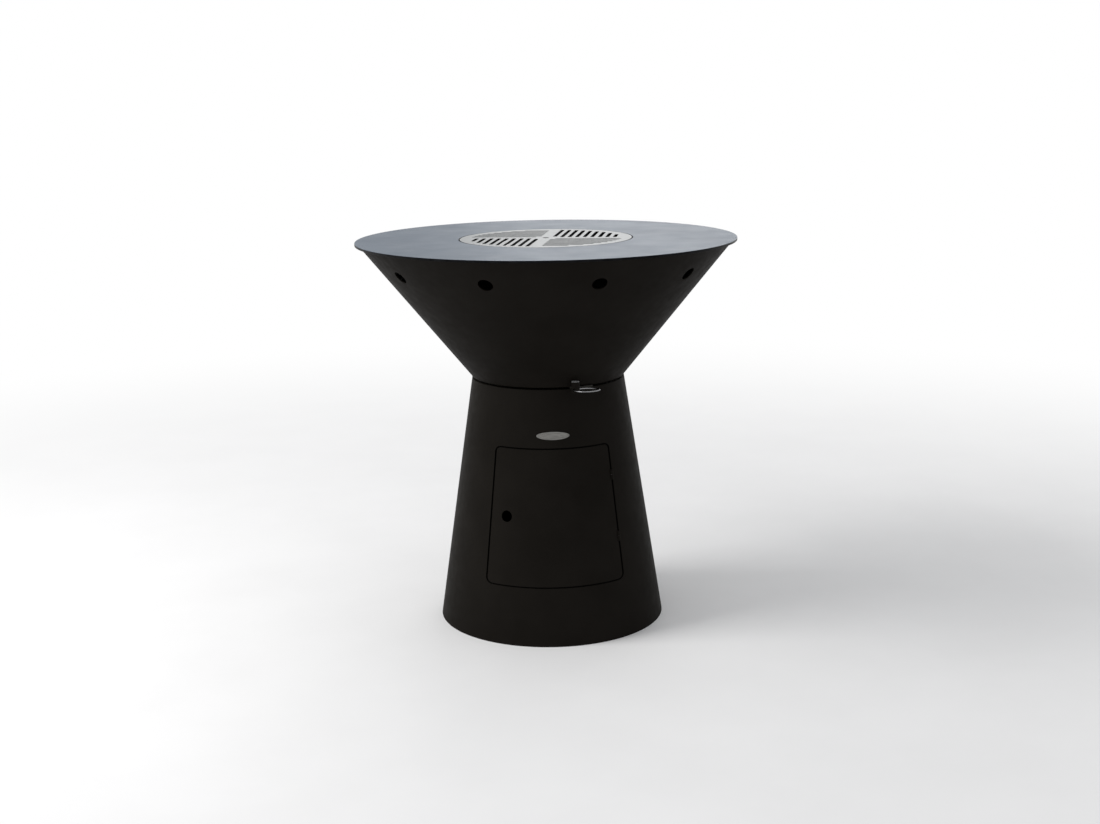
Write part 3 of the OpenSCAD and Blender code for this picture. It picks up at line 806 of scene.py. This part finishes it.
def bowl_inside_r(z):
    return bowl_r(z) - bowl_wall - weld_gap


bowl_floor = flat_ring(
    "bowl_floor_plate", 0, bowl_inside_r(bowl_z), bowl_inside_r(floor_top), bowl_z, floor_top
)
ash_openings(bowl_floor, bowl_z, floor_top)
drill_round(bowl_floor, bolt_turns, bolt_circle_r, bowl_z, floor_top, bolt_hole_d)
soften(bowl_floor, plate_edge)
place([bowl_floor], "stand", "black_coat", black_coat, "bowl_floor")


# Damper disc
# A 4 mm disc with the same openings turns under the floor and lets more or less air in. Its
# tongue fills the shadow gap beside the post. Its black is painted lighter than the bowl's,
# as painted light on the tongue, which lies in the bowl's shade.
painted_light_coat = material("painted_light_coat", 0, 0.1)
# Lighter than the bowl's black: painted light for the tongue in the bowl's shade.
colour_by(painted_light_coat, grains(painted_light_coat, 40, 4), (0.018, 0.0165, 0.0145), (0.032, 0.030, 0.027))
roughness_by(painted_light_coat, grains(painted_light_coat, 60, 3), 0.40, 0.55)
relief_by(painted_light_coat, grains(painted_light_coat, 700, 2), 0.00002)
damper_z = 0.6588
damper_t = 0.004
damper_r = 0.150
post_angle = math.radians(14.8)
post_d, post_h, post_drop, post_gap = 0.022, 0.028, 0.005, 0.002
post_z = damper_z - post_drop
post_r = bowl_r(post_z + post_h) + post_gap + post_d / 2
neck_w = 0.009
tongue_r, tongue_lap = 0.209, 0.01
tongue_span = math.radians(17)
shut_turn = math.radians(22.5)

damper = bar("damper_plate", (0, 0, damper_z), (0, 0, damper_z + damper_t), damper_r, 192)
cut(damper, sector(
    "tongue", damper_r - tongue_lap, tongue_r, damper_z, damper_z + damper_t,
    post_angle - math.asin(neck_w / 2 / bowl_foot_r), tongue_span,
), operation="UNION")
neck = block(
    "neck", (-neck_w / 2, -post_r, damper_z), (neck_w / 2, -bowl_foot_r, damper_z + damper_t)
)
settle(neck, post_angle)
cut(damper, neck, operation="UNION")
ash_openings(damper, damper_z, damper_z + damper_t, shut_turn)
drill_round(damper, [post_angle], post_r, damper_z, damper_z + damper_t, post_d + 2 * bore_play)
soften(damper, sheet_edge)
place([damper], "damper", "black_coat", painted_light_coat, "damper_disc")


# Damper pivot
# A zinc plated bolt with a washer, a disc spring and a nut, which presses the damper up
# against the floor.
turned_edge = 0.0002
tip_chamfer = 0.001
tip_out = 0.004
slip = 0.0002
corner_share = 0.95
cone_slope = math.sqrt(3)  # turns the corners off at 30 degrees
cone_turn = math.radians(2)  # keeps the cone's edges off the hexagon's corners
least_bend = 25  # in degrees, so that the chamfers' edges are rounded too


def hexagon(name, across, z0, z1, facings, spot=(0, 0)):
    """A hexagon with its corners turned off where it faces up (1) or down (-1)."""
    alone()
    bpy.ops.mesh.primitive_cylinder_add(
        vertices=6, radius=across / math.sqrt(3), depth=z1 - z0, location=(*spot, (z0 + z1) / 2),
        rotation=(0, 0, math.pi / 6),
    )
    bpy.ops.object.transform_apply()
    piece = bpy.context.object
    piece.name = name
    flat_r = corner_share * across / 2
    for facing in facings:
        alone()
        bpy.ops.mesh.primitive_cone_add(
            vertices=48, radius1=flat_r + (z1 - z0 + past) * cone_slope,
            radius2=flat_r - past * cone_slope, depth=z1 - z0 + 2 * past,
            location=(*spot, (z0 + z1) / 2), rotation=(0 if facing > 0 else math.pi, 0, cone_turn),
        )
        cut(piece, bpy.context.object, operation="INTERSECT")
    return piece


def bolt(name, across, head_h, head_z, tip_z, shank_r, spot=(0, 0)):
    """A hexagon bolt that points down, with a chamfer at its tip."""
    piece = hexagon(name, across, head_z, head_z + head_h, (1,), spot)
    shank = bar("shank", (*spot, tip_z), (*spot, head_z + past), shank_r)
    edit_mode()
    pick(lambda p: p.z < tip_z + near, "EDGE")
    bpy.ops.mesh.bevel(offset=tip_chamfer, segments=1)
    object_mode()
    cut(piece, shank, operation="UNION")
    soften(piece, turned_edge, 2, least_bend)
    return piece


def nut(name, across, z0, z1, bore_r, spot=(0, 0)):
    piece = hexagon(name, across, z0, z1, (1, -1), spot)
    cut(piece, bar("bore", (*spot, z0 - past), (*spot, z1 + past), bore_r))
    soften(piece, turned_edge, 2, least_bend)
    return piece


def washer(name, outer, inner, z0, z1, spot=(0, 0)):
    piece = flat_ring(name, inner, outer, outer, z0, z1, 48)
    settle(piece, 0, (*spot, 0))
    soften(piece, turned_edge)
    return piece


pivot_across, pivot_head_h = 0.018, 0.00744
pivot_washer_z, pivot_spring_z, pivot_nut_z = 0.6561, 0.6543, 0.6441
spring_r, spring_rise, spring_t, spring_edge = 0.0115, 0.0008, 0.001, 0.0001

pivot_bolt = bolt(
    "damper_pivot_bolt", pivot_across, pivot_head_h, floor_top, pivot_nut_z - tip_out, pivot_r
)
place([pivot_bolt], "stand", "zinc_plate", zinc_plate, "pivot_bolt")
pivot_washer = washer(
    "damper_pivot_washer", 2 * pivot_r, pivot_r + slip, pivot_washer_z, damper_z - slip
)
place([pivot_washer], "stand", "zinc_plate", zinc_plate, "pivot_washer")
spring = flat_ring(
    "disc_spring", pivot_r + slip, spring_r, spring_r, pivot_spring_z, pivot_spring_z + spring_t, 48
)
edit_mode()
pick(lambda p: math.hypot(p.x, p.y) > spring_r - near)
bpy.ops.transform.translate(value=(0, 0, spring_rise))
object_mode()
soften(spring, spring_edge)
place([spring], "stand", "raw_steel", raw_steel, "pivot_spring")
pivot_nut = nut("damper_pivot_nut", pivot_across, pivot_nut_z, pivot_spring_z, pivot_r + bore_play)
place([pivot_nut], "stand", "zinc_plate", zinc_plate, "pivot_nut")


# Spacers and bolts of the bowl
# Four black spacers hold the bowl 6 mm above the pedestal, which makes the shadow gap. A
# bolt with a washer and a nut goes through each.
bolt_r = 0.005
bolt_across, bolt_head_h = 0.016, 0.0064
bolt_spot = (0, -bolt_circle_r)
spacer_r = 0.015
washer_t, nut_t = 0.002, 0.008
washer_low = neck_low - washer_t
nut_low = washer_low - nut_t

spacer = washer("spacer", spacer_r, bolt_hole_d / 2, pedestal_h, bowl_z, bolt_spot)
place(set_round(spacer, bolt_turns), "stand", "black_coat", black_coat, "bowl_spacers")
tip_low = nut_low - tip_out
fastener = bolt("bowl_bolt", bolt_across, bolt_head_h, floor_top, tip_low, bolt_r, bolt_spot)
place(set_round(fastener, bolt_turns), "stand", "zinc_plate", zinc_plate, "bowl_bolts")
fastener = washer("bowl_washer", 2 * bolt_r, bolt_r + slip, washer_low, neck_low, bolt_spot)
place(set_round(fastener, bolt_turns), "stand", "zinc_plate", zinc_plate, "bowl_washers")
fastener = nut("bowl_nut", bolt_across, nut_low, washer_low, bolt_r + bore_play, bolt_spot)
place(set_round(fastener, bolt_turns), "stand", "zinc_plate", zinc_plate, "bowl_nuts")


# Damper post and ring
# A black round bar, its top painted light grey as a painted highlight, stands at the end of
# the damper's tongue. A ring of stainless wire, butt welded shut, hangs in a hole across it.
ring_d, ring_wire, ring_play = 0.068, 0.004, 0.0006
ring_tip, ring_turn = math.radians(-4), math.radians(46)
ring_r = (ring_d - ring_wire) / 2
ring_sag = ring_r - math.sqrt(ring_r ** 2 - post_d ** 2 / 4)
ring_place = (
    Matrix.Rotation(post_angle, 4, "Z") @ Matrix.Translation((0, -post_r, damper_z + damper_t / 2))
    @ Matrix.Rotation(ring_tip, 4, "X") @ Matrix.Rotation(ring_turn, 4, "Z")
)
highlight_depth = 0.0004
post_chamfer = 0.0008


def darker_below(made, height, pattern, dark, light, metal_above=0):
    """Gives the shader other colours below a height, and metal only above it where asked."""
    tree = made.node_tree
    link = tree.links.new
    shader = shader_of(made)
    top_colour = shader.inputs["Base Color"].links[0].from_socket
    edge_colour = colour_by(made, pattern, dark, light)
    where = tree.nodes.new("ShaderNodeTexCoord")
    apart = tree.nodes.new("ShaderNodeSeparateXYZ")
    above = tree.nodes.new("ShaderNodeMath")
    above.operation = "GREATER_THAN"
    above.inputs[1].default_value = height
    choice = tree.nodes.new("ShaderNodeMix")
    choice.data_type = "RGBA"
    link(where.outputs["Object"], apart.inputs["Vector"])
    link(apart.outputs["Z"], above.inputs[0])
    link(above.outputs["Value"], choice.inputs["Factor"])
    link(edge_colour, choice.inputs[6])
    link(top_colour, choice.inputs[7])
    link(choice.outputs[2], shader.inputs["Base Color"])
    if metal_above:
        share = tree.nodes.new("ShaderNodeMath")
        share.operation = "MULTIPLY"
        share.inputs[1].default_value = metal_above
        link(above.outputs["Value"], share.inputs[0])
        link(share.outputs["Value"], shader.inputs["Metallic"])


post_top = post_z + post_h
painted_highlight_coat = material("painted_highlight_coat", 0, 0.02)
# Light grey on the post's top: a painted highlight; below it the black coat.
colour_by(painted_highlight_coat, grains(painted_highlight_coat, 300, 4), (0.26, 0.26, 0.26), (0.46, 0.46, 0.45), 0.3, 0.6)
darker_below(painted_highlight_coat, post_top - highlight_depth, grains(painted_highlight_coat, 9), *coat_black)
roughness_by(painted_highlight_coat, grains(painted_highlight_coat, 45), 0.48, 0.58)
relief_by(painted_highlight_coat, grains(painted_highlight_coat, 600, 2), 0.000015)

ends = on_circle(post_angle, post_r, post_z), on_circle(post_angle, post_r, post_top)
post = bar("post", *ends, post_d / 2, 64)
edit_mode()
pick(lambda p: p.z > post_top - near, "EDGE")
bpy.ops.mesh.bevel(offset=post_chamfer, segments=1)
object_mode()
ends = [ring_place @ Vector((side * post_d, -ring_sag / 2, 0)) for side in (-1, 1)]
cut(post, bar("cross_hole", *ends, (ring_wire + ring_sag + ring_play) / 2))
soften(post, sheet_edge)
place([post], "damper", "black_coat", painted_highlight_coat, "damper_post")

alone()
bpy.ops.mesh.primitive_torus_add(
    major_segments=128, minor_segments=20, major_radius=ring_r, minor_radius=ring_wire / 2
)
ring = bpy.context.object
ring.name = "wire_ring"
ring.matrix_world = ring_place @ Matrix.Translation((0, -ring_r, 0))
bpy.ops.object.transform_apply()
bpy.ops.object.shade_smooth()
bright_wire = material("bright_wire", 1)
colour_by(bright_wire, grains(bright_wire, 600, 3), (0.20, 0.20, 0.205), (0.29, 0.29, 0.295))
roughness_by(bright_wire, grains(bright_wire, 400, 3), 0.22, 0.34)
relief_by(bright_wire, grains(bright_wire, 900, 2), 0.00001)
place([ring], "damper", "stainless", bright_wire, "damper_ring")


# Fire bowl
# A steel sheet, 3 mm thick, rolled to a wide cone, with ten air vents cut round it under
# the rim. It is powder coated like the pedestal.
vent_z = 0.957
vent_r = 0.019
vent_n = 10
vent_turn = math.radians(-3.8)
bowl_seam_end = 0.005

bowl = rolled_cone("fire_bowl_sheet", (bowl_foot_r, bowl_z), (bowl_rim_r, rim_z), bowl_wall)
vents = []
for number in range(vent_n):
    turn = vent_turn + (number + 0.5) * 2 * math.pi / vent_n
    square = Matrix.Rotation(turn, 3, "Z") @ Vector((0, math.cos(bowl_lean), math.sin(bowl_lean)))
    middle = on_circle(turn, bowl_r(vent_z), vent_z)
    vents.append(bar("vent", middle - 4 * sheet * square, middle + 4 * sheet * square, vent_r, 64))
cut(bowl, *vents)
soften(bowl, sheet_edge)
place([bowl], "stand", "black_coat", black_coat, "fire_bowl")
low, high = bowl_z + bowl_seam_end, rim_z - bowl_seam_end
weld = seam("bowl_seam", (0, bowl_r(low), low), (0, bowl_r(high), high))
place([weld], "stand", "black_coat", black_coat)


# Flange in the rim
# A flat ring of 4 mm steel, coated like the bowl and welded inside its rim. The cooking
# plate lies on it.
flange_width, flange_t = 0.025, 0.004
flange_low = rim_z - flange_t
flange = flat_ring(
    "rim_flange", bowl_inside_r(rim_z) - flange_width, bowl_inside_r(flange_low),
    bowl_inside_r(rim_z), flange_low, rim_z,
)
soften(flange, plate_edge)
place([flange], "stand", "black_coat", black_coat, "bowl_rim_flange")


# Ember grate
# A loose grate of sand cast iron stands on four feet on the floor and keeps the embers off
# the ash openings. Its edges are rounded by the mould.
cast_iron = material("cast_iron", 0.3)
colour_by(cast_iron, grains(cast_iron, 30, 5), (0.012, 0.0115, 0.011), (0.035, 0.033, 0.031))
roughness_by(cast_iron, grains(cast_iron, 90, 4), 0.62, 0.82)
relief_by(cast_iron, grains(cast_iron, 420, 4), 0.00015)
ember_r, ember_t, ember_z = 0.150, 0.008, 0.690
ember_rim_w, ember_rib_w, ember_slot_w, ember_pitch = 0.018, 0.016, 0.012, 0.022
ember_field_r = ember_r - ember_rim_w
ember_side_slots = 5
ember_foot_r, ember_foot_place, ember_foot_sink = 0.008, 0.138, 0.0005
mould_edge = 0.0015
round_end = 0.4999  # of a slot's width, so that its two rounded corners all but meet


def slot_cutter(x, y0, y1, width, z0, z1):
    """What cuts a slot with round ends along Y."""
    middle = (x, (y0 + y1) / 2, z0 - past)
    alone()
    bpy.ops.mesh.primitive_plane_add(size=1, location=middle)
    bpy.ops.object.transform_apply()
    edit_mode()
    bpy.ops.transform.resize(value=(width, y1 - y0, 1), center_override=middle)
    pick_all("VERT")
    bpy.ops.mesh.bevel(
        offset_type="OFFSET", offset=round_end * width, segments=10, affect="VERTICES",
        clamp_overlap=False,
    )
    pick_all("FACE")
    extrude(0, 0, z1 - z0 + 2 * past)
    close_up()
    object_mode()
    return bpy.context.object


ember_grate = bar("ember_grate_casting", (0, 0, ember_z), (0, 0, ember_z + ember_t), ember_r, 192)
slots = []
for number in range(-ember_side_slots, ember_side_slots + 1):
    x = number * ember_pitch
    end = math.sqrt(ember_field_r ** 2 - (abs(x) + ember_slot_w / 2) ** 2)
    cutter = slot_cutter(x, ember_rib_w / 2, end, ember_slot_w, ember_z, ember_z + ember_t)
    slots += set_round(cutter, (0, math.pi))
cut(ember_grate, *slots)
for number in range(4):
    heights = floor_top, ember_z + ember_foot_sink
    ends = [on_circle(number * math.pi / 2, ember_foot_place, z) for z in heights]
    cut(ember_grate, bar("foot", *ends, ember_foot_r), operation="UNION")
soften(ember_grate, mould_edge, 3, 35)
place([ember_grate], "embers", "cast_iron", cast_iron, "ember_grate")


# Cooking plate
# A ring cut from 6 mm rolled steel plate, its upper edges broken. Oil and fire have turned
# its top a bluish grey. Its rim and underside are coloured nearly black, partly dark fire
# scale and partly painted shade on the rim.
plancha_steel = material("plancha_steel", 0.2, 0.03)
plate_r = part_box("plancha_plate")[1][0]
opening_r = 0.229
plate_t = 0.006
edge_break, under_break = 0.0008, 0.0004
plate_top = rim_z + plate_t
bright_depth = 0.0003
colour_by(plancha_steel, grains(plancha_steel, 6, 6), (0.094, 0.116, 0.146), (0.106, 0.130, 0.162))
# Nearly black below the top face: dark fire scale, and painted shade on the rim.
darker_below(
    plancha_steel, plate_top - bright_depth, grains(plancha_steel, 40, 4),
    (0.004, 0.004, 0.0045), (0.009, 0.009, 0.010),
)
roughness_by(plancha_steel, grains(plancha_steel, 14, 5), 0.38, 0.44)
relief_by(plancha_steel, grains(plancha_steel, 420, 3), 0.00002)

plate_middle = ((plate_r + opening_r) / 2, 0, rim_z + plate_t / 2)
plate = standing_plane("cooking_plate", plate_middle, plate_r - opening_r, plate_t)
pick(lambda p: p.z > plate_middle[2])
bpy.ops.mesh.bevel(offset_type="OFFSET", offset=edge_break, segments=3, affect="VERTICES")
pick(lambda p: p.z < rim_z + near)
bpy.ops.mesh.bevel(offset_type="OFFSET", offset=under_break, segments=2, affect="VERTICES")
spin_round()
smooth(plate, least_bend)
place([plate], "plancha", "plancha_steel", plancha_steel, "plancha_plate")


# Lugs under the cooking plate
# Four flat lugs carry the grill grate and four upright ones centre the plate in the bowl's
# rim. They are cut from 4 mm flat bar and welded on.
lug_t = 0.004
lie_play = 0.00005
rest_w, rest_out, rest_in = 0.040, 0.255, 0.212
rest_low = rim_z - lie_play - lug_t
locator_w, locator_h, locator_y = 0.030, 0.022, -0.4567
quarters = [k * math.pi / 2 for k in range(4)]

rest = block(
    "rest_lug", (-rest_w / 2, -rest_out, rest_low), (rest_w / 2, -rest_in, rest_low + lug_t)
)
soften(rest, bar_edge)
place(set_round(rest, bolt_turns), "plancha", "raw_steel", raw_steel, "grate_rests")
locator = block(
    "locating_lug", (-locator_w / 2, locator_y, rim_z - locator_h),
    (locator_w / 2, locator_y + lug_t, rim_z),
)
soften(locator, bar_edge)
place(set_round(locator, quarters), "plancha", "raw_steel", raw_steel, "plate_locators")


# Grill grate
# A disc of 6 mm stainless steel, laser cut with four fields of slots and a lifting hole,
# brushed on top. The walls of its slots and its underside are near black, partly soot and
# partly painted shade in the slots.
metal_share = 0.6
stainless = material("stainless", metal_share, 0.1)
shader_of(stainless).inputs["Specular Tint"].default_value = (0.5, 0.5, 0.5, 1)
grate_gap, grate_rim_w = 0.003, 0.023
grate_r = opening_r - grate_gap
grate_t = 0.006
grate_top = rim_z + grate_t
soot_and_shade_depth = 0.0002
grate_edge = 0.00025
colour_by(stainless, grains(stainless, 900, 3, brushing), (0.30, 0.31, 0.315), (0.39, 0.40, 0.40))
# Near black and not metal below the top: soot, and painted shade on the slot walls.
darker_below(
    stainless, grate_top - soot_and_shade_depth, grains(stainless, 200, 3),
    (0.005, 0.005, 0.0055), (0.012, 0.0115, 0.0115), metal_share,
)
roughness_by(stainless, grains(stainless, 700, 3, brushing), 0.30, 0.44)
relief_by(stainless, grains(stainless, 1400, 2, brushing), 0.00001)
grate_turn = math.radians(-10.5)
slot_w, slot_pitch, cross_w = 0.010, 0.020, 0.030
field_r = grate_r - grate_rim_w
boss_r = 0.034
least_slot = 1.5 * slot_w  # a shorter one isn't cut
lift_hole_r = 0.009

grate = bar("grate", (0, 0, rim_z), (0, 0, grate_top), grate_r, 256)
slots = []
first = cross_w / 2 + slot_w / 2
for number in range(int((field_r - first) / slot_pitch) + 1):
    x = first + number * slot_pitch
    inner = max(cross_w / 2, math.sqrt(max(boss_r ** 2 - x ** 2, 0)))
    outer = math.sqrt(max(field_r ** 2 - (x + slot_w / 2) ** 2, 0))
    if outer - inner > least_slot:
        cutter = slot_cutter(x, inner, outer, slot_w, rim_z, grate_top)
        slots += set_round(cutter, [grate_turn + turn for turn in quarters])
cut(grate, *slots)
cut(grate, bar("lifting_hole", (0, 0, rim_z - past), (0, 0, grate_top + past), lift_hole_r))
soften(grate, grate_edge)
place([grate], "grill", "stainless", stainless, "grill_grate")


# Studio
# A plain pale floor that fades to a white background, soft light from above and all round,
# and the camera where the photographer stood.
scene = bpy.context.scene
scene.view_settings.view_transform = "Standard"
room_strength = 0.65
fade_start, fade_end = 0.9, 4.5
floor_size = 60
look_at = Vector((0, 0, 0.7))


def seen_directly(tree):
    """1 for rays from the camera or a mirror-like surface, 0 for the light that falls on things."""
    path = tree.nodes.new("ShaderNodeLightPath")
    total = path.outputs["Is Camera Ray"]
    for ray in ("Is Glossy Ray", "Is Transmission Ray"):
        either = tree.nodes.new("ShaderNodeMath")
        either.operation = "MAXIMUM"
        tree.links.new(total, either.inputs[0])
        tree.links.new(path.outputs[ray], either.inputs[1])
        total = either.outputs["Value"]
    return total


scene.world = bpy.data.worlds.new("studio")
scene.world.use_nodes = True
tree = scene.world.node_tree
link = tree.links.new
room_light = tree.nodes["Background"]
room_light.inputs["Color"].default_value = (0.95, 0.97, 1, 1)
room_light.inputs["Strength"].default_value = room_strength
backdrop = tree.nodes.new("ShaderNodeBackground")
backdrop.inputs["Color"].default_value = (1, 1, 1, 1)
backdrop.inputs["Strength"].default_value = 1
choice = tree.nodes.new("ShaderNodeMixShader")
link(seen_directly(tree), choice.inputs["Fac"])
link(room_light.outputs["Background"], choice.inputs[1])
link(backdrop.outputs["Background"], choice.inputs[2])
link(choice.outputs["Shader"], tree.nodes["World Output"].inputs["Surface"])

floor_paint = material("floor_paint", 0, 0.2)
colour_by(floor_paint, grains(floor_paint, 3, 4), (0.82, 0.81, 0.80), (0.84, 0.83, 0.82))
roughness_by(floor_paint, grains(floor_paint, 20), 0.75, 0.85)
tree = floor_paint.node_tree
link = tree.links.new
where = tree.nodes.new("ShaderNodeTexCoord")
distance = tree.nodes.new("ShaderNodeVectorMath")
distance.operation = "LENGTH"
fade = tree.nodes.new("ShaderNodeMapRange")
fade.interpolation_type = "SMOOTHSTEP"
fade.inputs["From Min"].default_value = fade_start
fade.inputs["From Max"].default_value = fade_end
both = tree.nodes.new("ShaderNodeMath")
both.operation = "MULTIPLY"
glow = tree.nodes.new("ShaderNodeEmission")
blend = tree.nodes.new("ShaderNodeMixShader")
link(where.outputs["Object"], distance.inputs[0])
link(distance.outputs["Value"], fade.inputs["Value"])
link(fade.outputs["Result"], both.inputs[0])
link(seen_directly(tree), both.inputs[1])
link(both.outputs["Value"], blend.inputs["Fac"])
link(shader_of(floor_paint).outputs["BSDF"], blend.inputs[1])
link(glow.outputs["Emission"], blend.inputs[2])
link(blend.outputs["Shader"], tree.nodes["Material Output"].inputs["Surface"])

alone()
bpy.ops.mesh.primitive_plane_add(size=floor_size)
floor = bpy.context.object
floor.name = "floor"
floor.data.materials.append(floor_paint)

for name, power, size, spot in (
    ("key", 120, 1.8, (-3.2, -0.6, 3.2)),
    ("sheen", 120, 5.2, (2.3, 7.2, 2.78)),
):
    lamp = bpy.data.lights.new(name, "AREA")
    lamp.energy = power
    lamp.size = size
    stand = bpy.data.objects.new(name, lamp)
    scene.collection.objects.link(stand)
    stand.location = spot
    stand.rotation_euler = (look_at - stand.location).to_track_quat("-Z", "Y").to_euler()

camera_turn = math.radians(-2.5)
camera_away, camera_up = 4.0172, 1.4483
camera_down, camera_aside, camera_roll = 0.218911, 0.000835, 0.017017
camera_data = bpy.data.cameras.new("camera")
camera_data.lens = 49.97
camera_data.sensor_width = 36
camera = bpy.data.objects.new("camera", camera_data)
scene.collection.objects.link(camera)
camera.location = on_circle(camera_turn, camera_away, camera_up)
camera.rotation_euler = (
    Matrix.Rotation(camera_turn - camera_aside, 3, "Z")
    @ Matrix.Rotation(math.pi / 2 - camera_down, 3, "X")
    @ Matrix.Rotation(-camera_roll, 3, "Z")
).to_euler()
scene.camera = camera
